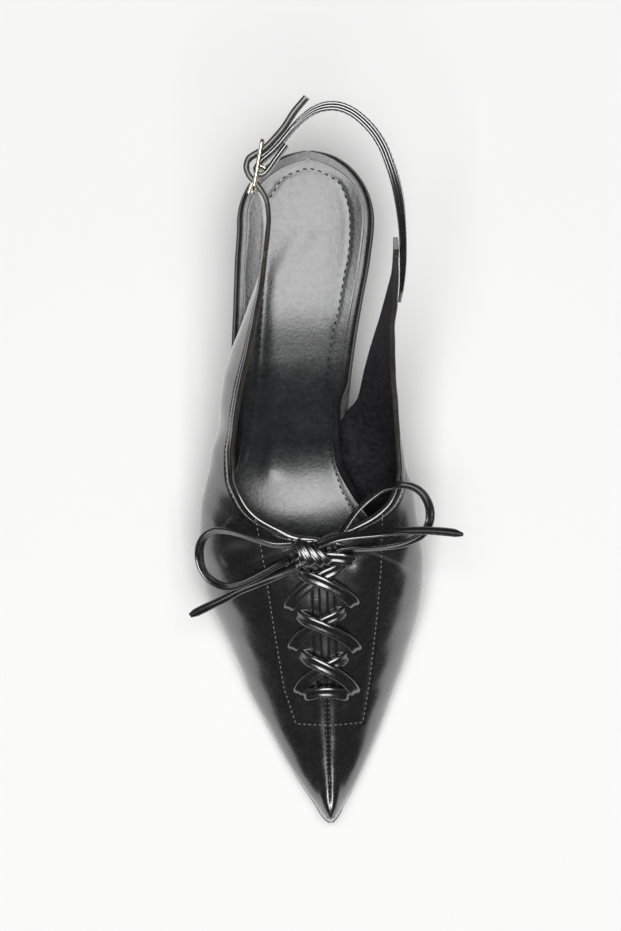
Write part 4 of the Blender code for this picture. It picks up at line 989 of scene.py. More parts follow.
def relief(half):
    """How far the leather stands out from its plain surface at each point."""
    grid, to_top, side = half["grid"], half["to_top"], half["side"]
    d = HEEL_SETBACK - grid[:, :, 1]
    x = grid[:, :, 0]
    top_d = d[:, -1:]
    count = len(grid)
    before_throat = np.arange(count)[:, None] < half["throat"]
    binding_from = BINDING_START[side] * LENGTH
    bound = before_throat * step_at(top_d, binding_from - BINDING_FADE * LENGTH, binding_from)
    out = bound * ridges(BINDING_RELIEF, to_top)
    slit_d = column(SLIT, "along")[-1] * LENGTH
    on_ridge = half["on_ridge"][:, None]
    beside_slit = on_ridge * (1 - step_at(top_d, slit_d - SLIT_FADE, slit_d + SLIT_FADE))
    out = out + beside_slit * ridges(FACING_RELIEF, to_top)
    beyond = on_ridge * step_at(top_d, slit_d, slit_d + SEAM_START_FADE) * (1 - step_at(top_d, *SEAM_FADE))
    out = out + beyond * ridges(SEAM_RELIEF, to_top)
    panel = distance_to_line(d, x, PANEL)
    pressed = (half["normal"][:, :, 2] > PANEL_FACING_UP) * (to_top > PANEL_FROM_EDGE)
    out = out - PANEL_GROOVE * bump_at(panel, 0, PANEL_GROOVE_WIDTH) * pressed
    holes = np.full(d.shape, 1.0)
    for hole in range(len(LACE_HOLES) - 1):
        hole_d, hole_x = hole_place(hole, side)
        holes = np.minimum(holes, np.hypot(d - hole_d, x - hole_x))
    out = out - HOLE_DIMPLE * bump_at(holes, 0, HOLE_DIMPLE_WIDTH)
    return out + creases(d, x, grid[:, :, 2], to_top, side)


def wave(turns, d, x, z):
    along, across, upward, start = turns
    return np.sin(d * along + x * across + z * upward + start)


def waves(table, d, x, z=0.0):
    """Slow unevenness of a surface, from rows of a height and two waves that cross."""
    return sum(height * wave(first, d, x, z) * wave(second, d, x, z) for height, first, second in table)


def creases(d, x, z, to_top, side):
    """The leather's own unevenness: slow waves, and the listed creases."""
    out = waves(LEATHER_WAVES, d, x, z)
    p = np.stack([d, to_top], axis=-1)
    for of_side, start, stop, depth, width in CREASES:
        if of_side != side:
            continue
        a = np.array(start) * LENGTH
        way = np.array(stop) * LENGTH - a
        t = np.clip(((p - a) @ way) / way.dot(way), 0, 1)
        off = np.linalg.norm(p - a - t[..., None] * way, axis=-1)
        out = out - depth / 1000 * np.exp(-((off / (width / 1000)) ** 2)) * np.sin(np.pi * t) ** 0.5
    return out


def fine_upper():
    """Both halves of the upper with their relief, and the inner surface a wall behind."""
    halves = {side: fine_half(side) for side in ("lateral", "medial")}
    left, right = halves["lateral"], halves["medial"]
    seam = len(left["grid"]) - left["slit_end"]
    for half in halves.values():
        half["normal"] = grid_normals(half["grid"], half["side"])
    shared = (left["normal"][-seam:, -1] + right["normal"][-seam:, -1]) / 2
    up_nose = np.gradient(left["grid"][-1], axis=0)
    nose = np.stack([0 * up_nose[:, 0], -up_nose[:, 2], up_nose[:, 1]], axis=-1)
    for half in halves.values():
        half["normal"][-seam:, -1] = shared
        half["normal"][-1] = nose
        half["normal"] = unit(half["normal"])
        half["inner"] = half["grid"] - offset_inward(half)
    raised = {side: relief(half) for side, half in halves.items()}
    middle = (raised["lateral"][-seam:, -1] + raised["medial"][-seam:, -1]) / 2
    for side, half in halves.items():
        raised[side][-seam:, -1] = middle
        raised[side][-1] *= 0
        raised[side][half["closed"], 0] = 0
        half["outer"] = half["grid"] + half["normal"] * raised[side][:, :, None]
    return halves


def rim_rows(outer, inner, back_outer, bulge):
    """Rows of points that round an edge between the outer and inner surfaces."""
    out = unit(outer - back_outer)
    rows = []
    for share in (0.0, 0.12, 0.3, 0.5, 0.7, 0.88, 1.0):
        lift = bulge * math.sin(math.pi * share) ** 0.6
        rows.append(outer + (inner - outer) * share + out * lift)
    return np.array(rows)


def add_grid(points, faces, slots, grid, slot, flip):
    """Adds a grid of points and its faces, all of one material, to lists."""
    n, m = grid.shape[:2]
    faces += shell_faces(n, m, len(points), flip)
    slots += [slot] * ((n - 1) * (m - 1))
    points += [tuple(p) for p in grid.reshape(-1, 3)]


def piece(name, shape, materials, node, replaces=True, slots=None, smooth_angle=60, merge=0):
    """A closed, smooth-shaded piece of the shoe, hung on the root body, which hides the node where it
    replaces it.
    """
    points, faces = shape
    mesh = bpy.data.meshes.new(name)
    mesh.from_pydata([tuple(map(float, p)) for p in points], [], [tuple(f) for f in faces])
    for made in materials:
        mesh.materials.append(made)
    if slots is not None:
        mesh.polygons.foreach_set("material_index", slots)
    work = bmesh.new()
    work.from_mesh(mesh)
    if merge:
        bmesh.ops.remove_doubles(work, verts=work.verts, dist=merge)
        bmesh.ops.dissolve_degenerate(work, edges=work.edges, dist=1e-7)
    bmesh.ops.recalc_face_normals(work, faces=work.faces)
    work.to_mesh(mesh)
    work.free()
    mesh.shade_smooth()
    mesh.set_sharp_from_angle(angle=math.radians(smooth_angle))
    made = bpy.data.objects.new(name, mesh)
    bpy.context.scene.collection.objects.link(made)
    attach(made, "root")
    if replaces:
        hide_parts(node)
    return made


def make_upper_piece(halves, materials):
    points, faces, slots = [], [], []
    for side, half in halves.items():
        flip = side == "medial"
        outer, inner = half["outer"], half["inner"]
        add_grid(points, faces, slots, outer, 0, flip)
        add_grid(points, faces, slots, inner, 1, not flip)
        last = half["slit_end"] + 1
        top = rim_rows(outer[:last, -1], inner[:last, -1], outer[:last, -2], RIM_BULGE)
        add_grid(points, faces, slots, top, 2, flip)
        bulge = np.where(half["closed"], 0.0, RIM_BULGE)[:, None]
        foot = rim_rows(outer[:, 0], inner[:, 0], outer[:, 1], bulge)
        add_grid(points, faces, slots, foot, 0, not flip)
        end = rim_rows(outer[0], inner[0], outer[1], 0.0)
        add_grid(points, faces, slots, end, 0, not flip)
    return piece("upper_leather", (points, faces), materials, "upper", True, slots, 70, 2e-6)


def tree_of(halves, which="outer"):
    """One of the upper's surfaces, ready to drop points on."""
    points, faces = [], []
    for half in halves.values():
        n, m = half["grid"].shape[:2]
        faces += shell_faces(n, m, len(points), False)
        points += [Vector(p) for p in half[which].reshape(-1, 3)]
    return BVHTree.FromPolygons(points, faces)


def swept(line, across, sections):
    """Points and faces of a closed section swept along a line.

    across is the section's own X direction at each point, and a section is a list of (u, v) points.
    """
    tangent = directions(np.asarray(line))
    points = []
    count = len(sections[0])
    for p, t, a, section in zip(line, tangent, across, sections):
        a = unit(a - t * np.dot(a, t))
        n = np.cross(t, a)
        points += [p + a * u + n * v for u, v in section]
    return points, ring_faces(len(line), count)


def folded_strip(width, thickness):
    """Section of a folded leather strip: two round edges with a shallow groove between them."""
    out = []
    for c, s in around(26):
        u = math.copysign(abs(c) ** 0.8, c) * width / 2
        v = math.copysign(abs(s) ** 0.7, s) * thickness / 2
        out.append((u, v * (1 - 0.50 * bump_at(u, 0, 0.16 * width))))
    return out


def round_section(radius, count=12):
    return [(radius * c, radius * s) for c, s in around(count)]


def merged(parts):
    """Several lists of points and faces as one."""
    points, faces = [], []
    for more_points, more_faces in parts:
        start = len(points)
        points += list(more_points)
        faces += [tuple(start + i for i in f) for f in more_faces]
    return points, faces


def stitch(middle, way, up, length, radius):
    """One stitch: a short thread that dips into the leather at both ends."""
    line = []
    for k in range(5):
        t = k / 4 - 0.5
        line.append(middle + way * t * length - up * radius * (2.2 * (2 * t) ** 2 - 0.5))
    sections = [round_section(radius * s, 5) for s in (0.55, 0.95, 1.0, 0.95, 0.55)]
    side_way = np.cross(way, up)
    return swept(np.array(line), [side_way] * 5, sections)


def read_line(at, run, line):
    """Points of a line at distances along it."""
    return np.stack([np.interp(at, run, line[:, k]) for k in range(line.shape[1])], axis=-1)


def stitches_along(line, ups, pitch=STITCH_PITCH, length=STITCH_LENGTH, radius=STITCH_RADIUS):
    """Stitches at an even pitch along a line that lies on a surface."""
    line, ups = np.asarray(line), np.asarray(ups)
    run = run_along(line)
    parts = []
    for k in range(int(run[-1] / pitch)):
        s = (k + 0.5) * pitch
        way = unit(read_line(s + 0.0003, run, line) - read_line(s - 0.0003, run, line))
        up = read_line(s, run, ups)
        parts.append(stitch(read_line(s, run, line), way, unit(up - way * up.dot(way)), length, radius))
    return parts


def down_on(tree, places):
    """Points of a plan line dropped on a surface, with the surface's normals."""
    points, ups = [], []
    for d, x in places:
        point, normal, _, _ = tree.ray_cast(Vector((x, HEEL_SETBACK - d, 1.0)), Vector((0, 0, -1)))
        if point is None:
            continue
        if normal.z < 0:
            normal = -normal
        points.append(np.array(point))
        ups.append(np.array(normal))
    return np.array(points), np.array(ups)


def dense_plan(line_mm, step=0.001):
    """A plan line in millimetres as close points in metres."""
    line = np.array(line_mm, float) / 1000
    run = run_along(line)
    return read_line(np.arange(0, run[-1], step), run, line)


def over_slit(tree, d, x):
    """The upper's surface under a place and its normal, bridged smoothly across the slit."""
    reach = SLIT_BRIDGE
    side_to_side = np.clip((x + reach) / (2 * reach), 0, 1)
    if 0 < side_to_side < 1:
        at, ups = down_on(tree, [(d, -reach), (d, reach)])
        crown = 4 * side_to_side * (1 - side_to_side) * SLIT_CROWN
        z = at[0][2] * (1 - side_to_side) + at[1][2] * side_to_side + crown
        return place(d, x, z), ups[0] * (1 - side_to_side) + ups[1] * side_to_side
    at, ups = down_on(tree, [(d, x)])
    return at[0], ups[0]


def strand_line(tree, plan, lift, dips, count=41):
    """A lace strip's middle line over the upper from plan points, diving into a hole at either end."""
    start, bend, stop = [np.array(p) for p in plan]
    line, ups = [], []
    for k in range(count):
        t = k / (count - 1)
        d, x = (1 - t) ** 2 * start + 2 * t * (1 - t) * bend + t * t * stop
        point, normal = over_slit(tree, d, x)
        height = CLEARANCE + LACE_STRIP_THICKNESS / 2 + lift * math.sin(math.pi * t) ** 0.8
        for dip, share in ((dips[0], t), (dips[1], 1 - t)):
            height -= dip * (1 - step_at(share, 0.0, DIP_REACH)) ** 1.5
        line.append(point + normal * height)
        ups.append(normal)
    line, ups = np.array(line), np.array(ups)
    for _ in range(3):
        line[1:-1] = (line[:-2] + 2 * line[1:-1] + line[2:]) / 4
        ups[1:-1] = (ups[:-2] + 2 * ups[1:-1] + ups[2:]) / 4
    return line, ups


def lace_strip(tree, plan, lift, dips=(LACE_DIP, LACE_DIP), seed=0):
    """Points and faces of one folded strip from place to place over the upper, narrower at its holes."""
    line, ups = strand_line(tree, plan, lift, dips)
    side_way = unit(np.cross(directions(line), ups))
    sections = []
    for t in np.linspace(0, 1, len(line)):
        narrow = 1.0
        for (less, reach), dip, share in zip(STRAND_ENDS, dips, (t, 1 - t)):
            narrow -= less * (1 - step_at(share, 0, reach)) * bool(dip)
        uneven = 1 + 0.03 * math.sin(9 * t + seed) + 0.02 * math.sin(23 * t + 2 * seed)
        sections.append(folded_strip(LACE_STRIP_WIDTH * narrow * uneven, LACE_STRIP_THICKNESS))
    return swept(line, side_way, sections)


def arching(start, stop):
    """A strand's plan: it leaves its upper hole across the shoe and turns down into the lower one."""
    along, across = CROSSING_BEND
    return start, np.array([start[0] + along * (stop[0] - start[0]), stop[1] * across]), stop


def make_lacing(tree, leather_made):
    """The bottom bar, the crossings, and the two strips that come up to the knot."""
    left, right = [hole_place(0, side, BAR_END_OUT) for side in ("lateral", "medial")]
    parts = [lace_strip(tree, (left, (left + right) / 2 - [BAR_RISE, 0], right), BAR_LIFT, seed=1)]
    for k in range(3):
        for side, other, lift, seed in CROSSING:
            plan = arching(hole_place(k + 1, side), hole_place(k, other, CROSSING_END_OUT))
            parts.append(lace_strip(tree, plan, lift, seed=seed + k))
    knot = np.array(LACE_KNOT_ROUTE).mean(axis=0) / 1000
    knot_d = HEEL_SETBACK - knot[1]
    for side, x, seed in KNOT_STRANDS:
        end = np.array([knot_d + 0.0015, x])
        start = hole_place(3, side, KNOT_STRAND_END_OUT)
        bend = np.array([start[0] * 0.25 + end[0] * 0.75 - 0.0015, start[1] * 0.75])
        parts.append(lace_strip(tree, (start, bend, end), KNOT_STRAND_LIFT, (LACE_DIP, 0), seed))
    piece("lace_over_vamp", merged(parts), [leather_made], "lace_crossings")


def bow_strip(leather_made, name, route, twist, end):
    """A free strip of the bow.

    twist is the turn of its width from level, in degrees, at shares of its length, and end is the share of
    its width that its far end tapers to.
    """
    line = resampled(np.array(route) / 1000, STRAP_STEP)
    run = run_along(line)
    share = run / run[-1]
    angle = np.radians(np.interp(share, [t for t, _ in twist], [a for _, a in twist]))[:, None]
    tangent = directions(line)
    level = unit(np.cross(tangent, UP))
    across = np.cos(angle) * level + np.sin(angle) * np.cross(level, tangent)
    sections = []
    for t in share:
        width = BOW_STRIP_WIDTH * min(1.0, end + (1 - end) * (1 - t) / BOW_TAPER)
        sections.append(folded_strip(width * (1 + 0.02 * math.sin(31 * t)), BOW_STRIP_THICKNESS))
    made = piece(name + "_strip", swept(line, across, sections), [leather_made], name)


def make_knot(leather_made):
    """The bow's middle: turns of the strip wrapped tightly round the loops, leaning as they were pulled."""
    core = resampled(np.array(LACE_KNOT_ROUTE) / 1000, 0.0006)
    middle = (core[0] + core[-1]) / 2
    along = unit(core[-1] - core[0])
    up = unit(UP - along * along[2])
    beside = np.cross(along, up)
    parts = []
    circle = around(40)
    for shift, lean, wide, high, width in KNOT_TURNS:
        line = []
        for c, s in circle + circle[:1]:
            y, z = wide * c, high * s
            line.append(middle + along * (shift + lean * y) + beside * y + up * (z + KNOT_LIFT))
        section = folded_strip(width, KNOT_STRIP_THICKNESS)
        parts.append(swept(np.array(line), [along - beside * lean] * len(line), [section] * len(line)))
    n = len(core)
    radii = [KNOT_THICKNESS * 0.38 * math.sin(math.pi * (k + 0.5) / n) ** 0.5 for k in range(n)]
    parts.append(swept(core + up * KNOT_LIFT * 0.5, [up] * n, [round_section(r, 14) for r in radii]))
    return piece("lace_knot_wrap", merged(parts), [leather_made], "lace_knot")


def layered_edge(width, thickness, layers=3):
    """Section of a strap on its edge: rounded corners, and grooves between its layers on the top edge."""
    corner = min(STRAP_CORNER, 0.4 * thickness)
    half_w, half_t = width / 2, thickness / 2
    top = []
    for v in np.linspace(-half_t, half_t, 15):
        near_edge = max(0.0, abs(v) - (half_t - corner)) / corner
        fall = corner * (1 - math.sqrt(max(0.0, 1 - near_edge**2)))
        between = math.sin(math.pi * layers * (v + half_t) / thickness)
        groove = LAYER_GROOVE * bump_at(between, 0, 0.35) * (near_edge == 0)
        top.append((half_w - fall - groove, v))
    down = [half_w - corner - (width - 2 * corner) * k / 8 for k in range(1, 8)]
    faces = [(u, half_t) for u in down], [(-u, -half_t) for u in down]
    return top + faces[0] + [(-u, v) for u, v in top[::-1]] + faces[1]


def make_strap(materials):
    line, thick = strap_line()
    fine = resampled(line, STRAP_STEP)
    run_c = run_along(line)
    run = run_along(fine)
    at = run / run[-1] * run_c[-1]
    rows = len(SLINGBACK) - 1
    lean = np.interp(at, run_c[:rows], column(SLINGBACK, "lean"))
    thickness = np.interp(at, run_c, thick) * (1 + STRAP_SWELL * lean)
    tangent = directions(fine)
    up = upright(tangent, lean * 0.6)
    up_share = np.interp(at, run_c[rows - 4 : rows], [0, 0.3, 0.7, 1.0])[:, None]
    up = up * (1 - up_share) + UP * up_share
    width = np.interp(at, run_c[:3], [0.55 * STRAP_WIDTH, 0.92 * STRAP_WIDTH, STRAP_WIDTH])
    sections = [layered_edge(w, t) for w, t in zip(width, thickness)]
    node = "slingback_strap"
    piece("slingback_leather", swept(fine, up, sections), materials[:1], node, smooth_angle=50)
    side_way = unit(np.cross(tangent, up))
    parts = []
    stop = int(np.searchsorted(at, run_c[rows]))
    for edge in (-1, 1):
        for face in (-1, 1):
            offset = up * (edge * (STRAP_WIDTH / 2 - STRAP_STITCH_INSET))
            line = (fine + offset + side_way * (face * thickness[:, None] / 2))[4:stop]
            parts += stitches_along(line, side_way[4:stop] * face, radius=STRAP_STITCH_RADIUS)
    piece("slingback_stitches", merged(parts), materials[1:], node, False)


def arc_corner_line(corners, radius, steps=5):
    """A closed line through corners rounded to a radius."""
    line = []
    for k, corner in enumerate(corners):
        before = unit(corners[k - 1] - corner) * radius
        after = unit(corners[(k + 1) % len(corners)] - corner) * radius
        for i in range(steps + 1):
            t = i / steps
            line.append(corner + before * (1 - t) ** 2 + after * t * t)
    return np.array(line)


def closed_tube(line, radius, sides=14):
    """Points and faces of a round wire along a closed line."""
    n = len(line)
    tangent = directions(np.vstack([line[-1:], line, line[:1]]))[1:-1]
    side_way = np.cross(tangent[0], [0.3, 0.2, 1.0])
    points = []
    for p, t in zip(line, tangent):
        side_way = unit(side_way - t * side_way.dot(t))
        other = np.cross(t, side_way)
        points += [p + u * side_way + v * other for u, v in round_section(radius, sides)]
    first = points[:sides]
    turn = min(range(sides), key=lambda k: np.linalg.norm(np.array(points[(n - 1) * sides + k]) - first[0]))
    faces = ring_faces(n, sides)[:-2]
    for k in range(sides):
        a = (n - 1) * sides + (k + turn) % sides
        b = (n - 1) * sides + (k + turn + 1) % sides
        faces.append((a, b, (k + 1) % sides, k))
    return points, faces


def make_buckle(metal):
    back, front, centre = spot(BUCKLE_BACK), spot(BUCKLE_FRONT), spot(CENTRE_BAR)
    reach = UP * BUCKLE_HEIGHT / 2
    frame_line = arc_corner_line([back - reach, back + reach, front + reach, front - reach], FRAME_CORNER)
    parts = [closed_tube(frame_line, FRAME_WIRE / 2)]
    way = front - back
    on_frame = back + way * (centre - back).dot(way) / way.dot(way)
    bar = np.array([on_frame - reach, centre - reach * 0.8, centre + reach * 0.8, on_frame + reach])
    bar = resampled(bar, 0.0008)
    n = len(bar)
    parts.append(swept(bar, [np.array([1.0, 0, 0])] * n, [round_section(CENTRE_BAR_WIRE / 2, 14)] * n))
    piece("buckle_metal", merged(parts), [metal], "buckle_frame")
    prong = resampled(prong_line(), 0.0006)
    n = len(prong)
    parts = [swept(prong, [UP] * n, [round_section(PRONG_WIRE / 2)] * n)]
    middle = centre.copy()
    middle[2] = prong[0][2]
    radius = (CENTRE_BAR_WIRE + PRONG_WIRE) / 2 + CLEARANCE
    ring = [middle + np.array([x, y, 0]) for x, y in round_section(radius, 24)]
    parts.append(closed_tube(np.array(ring), PRONG_WIRE / 2, 10))
    piece("buckle_prong_metal", merged(parts), [metal], "buckle_prong")


def fine_layer(name, node, start, stop, inset, low, high, rounding, made_of, relief_of=None, across=40):
    """A sheet along the sole with round edges: relief_of lifts its top by place."""
    share = (1 - np.cos(np.linspace(0, math.pi, 80))) / 2
    even = np.arange(start + 0.006, stop - 0.004, 0.0011)
    d_all = np.unique(np.round(np.concatenate([start + (stop - start) * share, even]), 6))
    points = []
    for d in d_all:
        lateral = outline_at(d, "lateral", inset, start, stop)
        medial = outline_at(d, "medial", inset, start, stop)
        z = float(sole_top(min(max(d, 0), LENGTH))) + low
        thick = high - low
        edge_round = min(rounding, 0.4 * (lateral + medial))
        for part, rise in LAYER_EDGE:
            points.append(place(d, -lateral + part * edge_round, z + rise * thick))
        for x in np.linspace(-lateral + edge_round, medial - edge_round, across):
            points.append(place(d, x, z + thick + (relief_of(d, x) if relief_of else 0.0)))
        for part, rise in LAYER_EDGE[::-1]:
            points.append(place(d, medial - part * edge_round, z + rise * thick))
    faces = ring_faces(len(d_all), 2 * len(LAYER_EDGE) + across)
    return piece(name, (points, faces), [made_of], node, smooth_angle=45)


def sole_inset(d):
    return edge_inset(d, 0.335 * LENGTH, 0.372 * LENGTH)


def sock_inset(d):
    return sole_inset(d) + SOCK_INSET


def sock_relief(d, x):
    """The sock's quilted stitch line, its slow unevenness and the soft hollow pressed into it."""
    gap = float(distance_to_line(np.array(d), np.array(x), SOCK_STITCHES))
    off = float(distance_to_line(np.array(d), np.array(x), SOCK_HOLLOW))
    out = waves(SOCK_WAVES, d, x)
    return out - HOLLOW_DEPTH * bump_at(off, 0, HOLLOW_WIDTH) - QUILT_DEPTH * bump_at(gap, 0, QUILT_WIDTH)


def make_sole_layers(sole_leather, board, sock_leather):
    """The outsole, the insole board on it, and the sock on the board."""
    ledge = OUTSOLE_LEDGE
    fine_layer(
        "outsole_leather", "outsole", -ledge * 0.2, LENGTH + ledge, -ledge, -OUTSOLE_THICKNESS, 0.0,
        OUTSOLE_ROUNDING, sole_leather,
    )
    low, stop = CLEARANCE, LENGTH - 2.5 * UPPER_WALL - 3 * CLEARANCE
    fine_layer(
        "insole_board", "insole", CLEARANCE, stop, sole_inset, low, low + INSOLE_THICKNESS,
        INSOLE_ROUNDING, board,
    )
    low, stop = 2 * CLEARANCE + INSOLE_THICKNESS, LENGTH - 5 * UPPER_WALL - SOCK_INSET
    return fine_layer(
        "sock_leather", "sock", CLEARANCE + SOCK_INSET, stop, sock_inset, low, low + SOCK_THICKNESS,
        SOCK_ROUNDING, sock_leather, sock_relief, 70,
    )


def make_heel_piece(leather_made, rubber):
    levels = np.concatenate([np.linspace(0, 0.8, 30), np.linspace(0.82, 1.0, 10)])
    points = [p for level in levels for p in heel_ring(level)]
    piece("heel_cover", (points, ring_faces(len(levels), HEEL_RING)), [leather_made], "heel")
    base = np.array(heel_ring(0.0))
    points = []
    for z, grow in TIP_RINGS:
        ring = base * [grow, grow, 1.0]
        ring[:, 2] = z
        points += list(ring)
    piece("heel_tip_rubber", (points, ring_faces(len(TIP_RINGS), HEEL_RING)), [rubber], "heel_tip")


def make_tongue_piece(halves, lining):
    tree = tree_of(halves, "inner")
    start = (column(VAMP, "top_along")[0] + TONGUE_PAST_THROAT) * LENGTH
    stop = (column(SLIT, "along")[-1] + TONGUE_PAST_SLIT) * LENGTH
    points = []
    for d in np.linspace(start, stop, TONGUE_ROWS):
        top = []
        for x in np.linspace(-TONGUE_WIDTH / 2, TONGUE_WIDTH / 2, TONGUE_COLUMNS):
            beside = math.copysign(max(abs(x), SLIT_GAP / 2 + UPPER_WALL / 2), x)
            at, up = down_on(tree, [(d, beside)])
            top.append(place(d, x, at[0][2] - TONGUE_GAP / up[0][2]))
        points += top
        points += [p - [0, 0, TONGUE_THICKNESS] for p in top[::-1]]
    # The tongue's lighter colour is a painted reflection.
    piece("tongue_leather_painted_reflection", (points, ring_faces(TONGUE_ROWS, 2 * TONGUE_COLUMNS)), [lining], "tongue")


def row_at(half, distance, sections):
    """Points and normals at a distance from the top edge, on the sections that are high enough."""
    line, ups = [], []
    for i in sections:
        to_top = half["to_top"][i]
        if to_top[0] >= 0.008:
            line.append(read_line(distance, to_top[::-1], half["outer"][i, ::-1]))
            ups.append(read_line(distance, to_top[::-1], half["normal"][i, ::-1]))
    return line, ups


def make_stitching(halves, tree, thread, dark_thread):
    """Rows of stitches on the upper: round the panel, beside the toe seam and along the binding."""
    parts, dark_parts = stitches_along(*down_on(tree, dense_plan(PANEL))), []
    for side, half in halves.items():
        first, last = half["slit_end"] + 2, len(half["outer"]) - 14
        parts += stitches_along(*row_at(half, SEAM_STITCH_INSET, range(first, last)), *SEAM_STITCHES)
        top_d = HEEL_SETBACK - half["outer"][:, -1, 1]
        bound = [i for i in range(half["throat"]) if top_d[i] >= BINDING_START[side] * LENGTH]
        dark_parts += stitches_along(*row_at(half, BINDING_STITCH_INSET, bound), radius=BINDING_STITCH_RADIUS)
    # The grey of these stitches is painted sheen.
    piece("upper_stitches", merged(parts), [thread], "upper", False)
    piece("edge_stitches", merged(dark_parts), [dark_thread], "upper", False)


def make_sock_stitches(sock, thread):
    tree = BVHTree.FromObject(sock, bpy.context.evaluated_depsgraph_get())
    parts = stitches_along(*down_on(tree, dense_plan(SOCK_STITCHES)), *SOCK_STITCH_SIZES)
    piece("sock_stitches", merged(parts), [thread], "sock", False)


# Materials


def new_material(name):
    """A material with its nodes, its links and its shader."""
    made = bpy.data.materials.new(name)
    made.use_nodes = True
    tree = made.node_tree
    return made, tree.nodes, tree.links, tree.nodes["Principled BSDF"]


def set_inputs(node, values):
    for name, value in values.items():
        node.inputs[name].default_value = value


def new_node(nodes, kind, values):
    made = nodes.new("ShaderNode" + kind)
    set_inputs(made, values)
    return made


def tinted(nodes, links, source, colour, shares, places):
    """A colour that wanders between a darker and a lighter share of itself."""
    tint = nodes.new("ShaderNodeValToRGB")
    for element, share, at in zip(tint.color_ramp.elements, shares, places):
        element.color = (*[c * share for c in colour], 1)
        element.position = at
    links.new(source, tint.inputs["Fac"])
    return tint.outputs["Color"]


def leather(name, colour, roughness, grain, depth, coat=0.0, sheen=0.0, dent=0.35, ior=LEATHER_IOR):
    """Finished leather: a fine pebble and slow dents in bump, with colour and gloss that wander a little."""
    made, nodes, links, shader = new_material(name)
    set_inputs(shader, {
        "IOR": ior, "Coat Weight": coat, "Coat Roughness": COAT_ROUGHNESS, "Coat IOR": ior,
        "Sheen Weight": sheen, "Sheen Roughness": SHEEN_ROUGHNESS,
    })
    place_node = nodes.new("ShaderNodeTexCoord")
    cells = new_node(nodes, "TexVoronoi", {"Scale": grain})
    cells.feature = "SMOOTH_F1"
    cells.inputs["Smoothness"].default_value = PEBBLE_SMOOTHNESS
    slow = new_node(nodes, "TexNoise", {"Scale": DENT_SCALE, "Detail": 5.0})
    fine = new_node(nodes, "TexNoise", {"Scale": GLOSS_SCALE, "Detail": 3.0})
    for texture in (cells, slow, fine):
        links.new(place_node.outputs["Object"], texture.inputs["Vector"])
    pebble = new_node(nodes, "Bump", {"Distance": depth, "Strength": PEBBLE_STRENGTH})
    links.new(cells.outputs["Distance"], pebble.inputs["Height"])
    dents = new_node(nodes, "Bump", {"Distance": DENT_DEPTH, "Strength": dent})
    dents.name = "dents"
    links.new(slow.outputs["Fac"], dents.inputs["Height"])
    links.new(dents.outputs["Normal"], pebble.inputs["Normal"])
    links.new(pebble.outputs["Normal"], shader.inputs["Normal"])
    links.new(dents.outputs["Normal"], shader.inputs["Coat Normal"])
    tint = tinted(nodes, links, slow.outputs["Fac"], colour, (1 - CLOUDY, 1 + CLOUDY), NOISE_RANGE)
    links.new(tint, shader.inputs["Base Color"])
    gloss = new_node(nodes, "MapRange", {
        "From Min": NOISE_RANGE[0], "From Max": NOISE_RANGE[1], "To Min": roughness * GLOSS_RANGE[0],
        "To Max": roughness * GLOSS_RANGE[1],
    })
    links.new(fine.outputs["Fac"], gloss.inputs["Value"])
    links.new(gloss.outputs["Result"], shader.inputs["Roughness"])
    return made


def math_node(nodes, links, operation, first, second):
    """A maths node fed by sockets or plain numbers."""
    made = nodes.new("ShaderNodeMath")
    made.operation = operation
    for slot, value in enumerate((first, second)):
        if isinstance(value, float):
            made.inputs[slot].default_value = value
        else:
            links.new(value, made.inputs[slot])
    return made.outputs[0]


def cushion(made):
    """Shades the sock as padded: flatter under the ball of the foot than the sole, and dished across."""
    nodes, links = made.node_tree.nodes, made.node_tree.links
    place_node = nodes.new("ShaderNodeTexCoord")
    parts = nodes.new("ShaderNodeSeparateXYZ")
    links.new(place_node.outputs["Object"], parts.inputs["Vector"])
    height = new_node(nodes, "MapRange", {
        "From Min": HEEL_SETBACK - CUSHION_START * LENGTH, "From Max": HEEL_SETBACK - CUSHION_STOP * LENGTH,
        "To Max": CUSHION_HEIGHT,
    })
    height.interpolation_type = "SMOOTHSTEP"
    links.new(parts.outputs["Y"], height.inputs["Value"])
    beside = math_node(nodes, links, "ADD", parts.outputs["X"], DISH_MIDDLE)
    square = math_node(nodes, links, "MULTIPLY", beside, beside)
    dish = math_node(nodes, links, "MULTIPLY", square, DISH)
    total = math_node(nodes, links, "ADD", height.outputs["Result"], dish)
    lift = new_node(nodes, "Bump", {"Distance": 1.0, "Strength": 1.0})
    links.new(total, lift.inputs["Height"])
    links.new(lift.outputs["Normal"], nodes["dents"].inputs["Normal"])


def metal_of(name, colour, roughness):
    made, nodes, links, shader = new_material(name)
    set_inputs(shader, {"Base Color": (*colour, 1), "Metallic": 1.0})
    scratch = new_node(nodes, "TexNoise", {"Scale": 900.0})
    wear = new_node(nodes, "MapRange", {"To Min": roughness * 0.7, "To Max": roughness * 1.4})
    links.new(scratch.outputs["Fac"], wear.inputs["Value"])
    links.new(wear.outputs["Result"], shader.inputs["Roughness"])
    return made


def thread_of(name, colour):
    made, nodes, links, shader = new_material(name)
    set_inputs(shader, {"Roughness": 0.55})
    twist = new_node(nodes, "TexNoise", {"Scale": 1500.0})
    tint = tinted(nodes, links, twist.outputs["Fac"], colour, (0.6, 1.3), (0.0, 1.0))
    links.new(tint, shader.inputs["Base Color"])
    return made


def floor_of():
    made, _, _, shader = new_material("paper_floor")
    set_inputs(shader, {"Base Color": FLOOR_COLOUR, "Roughness": 0.9, "Specular IOR Level": 0.1})
    return made


# Stage


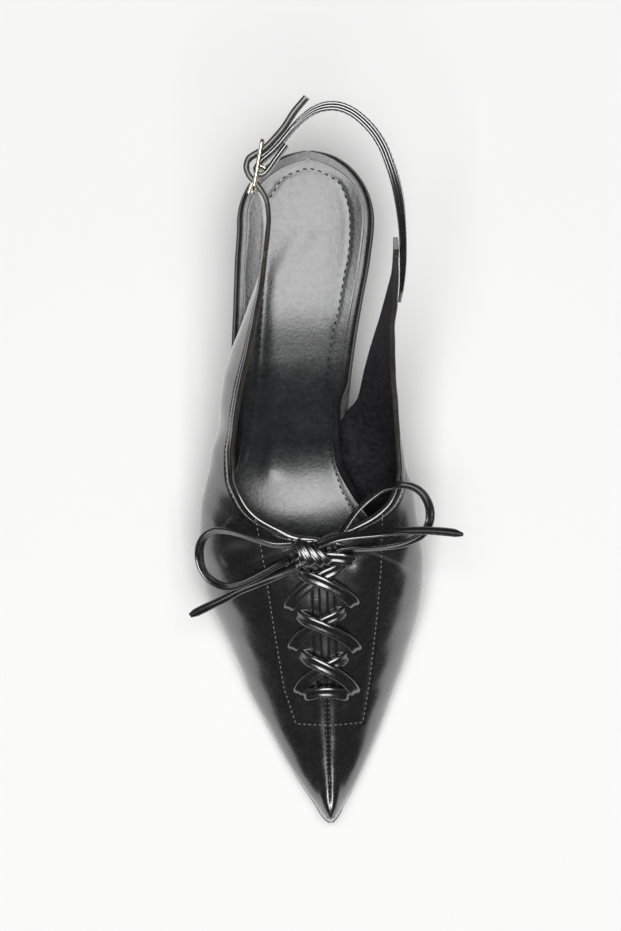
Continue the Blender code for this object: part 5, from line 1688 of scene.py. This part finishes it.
def make_camera():
    camera = bpy.data.objects.new("camera", bpy.data.cameras.new("camera"))
    bpy.context.scene.collection.objects.link(camera)
    camera.location = CAMERA_PLACE
    camera.rotation_euler = (0, 0, CAMERA_TURN)
    camera.data.sensor_fit = "VERTICAL"
    camera.data.sensor_height = SENSOR_HEIGHT
    camera.data.lens = CAMERA_LENS
    camera.data.clip_start = 0.01
    bpy.context.scene.camera = camera


def area_light(name, place_at, aim, size, power):
    data = bpy.data.lights.new(name, "AREA")
    data.shape = "RECTANGLE"
    data.size, data.size_y = size
    data.energy = power
    made = bpy.data.objects.new(name, data)
    bpy.context.scene.collection.objects.link(made)
    made.location = place_at
    made.rotation_euler = (Vector(aim) - Vector(place_at)).to_track_quat("-Z", "Y").to_euler()


def make_stage():
    mesh = bpy.data.meshes.new("floor")
    s = FLOOR_REACH
    mesh.from_pydata([(-s, -s, 0), (s, -s, 0), (s, s, 0), (-s, s, 0)], [], [(0, 1, 2, 3)])
    mesh.materials.append(floor_of())
    floor = bpy.data.objects.new("floor", mesh)
    bpy.context.scene.collection.objects.link(floor)
    world = bpy.data.worlds.new("studio")
    world.use_nodes = True
    set_inputs(world.node_tree.nodes["Background"], {"Color": (1, 1, 1, 1), "Strength": WORLD_STRENGTH})
    bpy.context.scene.world = world
    bpy.context.scene.view_settings.view_transform = "Standard"
    for row in LIGHTS:
        area_light(*row)


def main():
    make_camera()
    black, strip, lining, tongue_leather_painted_reflection, edge, sock_leather, board, sole_leather, rubber = [
        leather(name, colour, roughness, grain, depth, **more)
        for name, colour, roughness, grain, depth, more in LEATHERS
    ]
    cushion(sock_leather)
    metal = metal_of("pale_gold", PALE_GOLD, METAL_ROUGHNESS)
    thread = thread_of("thread_painted_sheen", PAINTED_SHEEN_THREAD)
    dark_thread = thread_of("dark_thread", DARK_THREAD)
    knot = make_knot(strip)
    for name, route, twist, far_end, end in BOW:
        bow_strip(strip, name, route, twist, end)
    halves = fine_upper()
    tree = tree_of(halves)
    make_upper_piece(halves, [black, lining, edge])
    make_stitching(halves, tree, thread, dark_thread)
    make_lacing(tree_of(halves, "grid"), strip)
    make_tongue_piece(halves, tongue_leather_painted_reflection)
    make_strap([black, dark_thread])
    make_buckle(metal)
    sock = make_sole_layers(sole_leather, board, sock_leather)
    make_sock_stitches(sock, dark_thread)
    make_heel_piece(black, rubber)
    make_stage()


main()
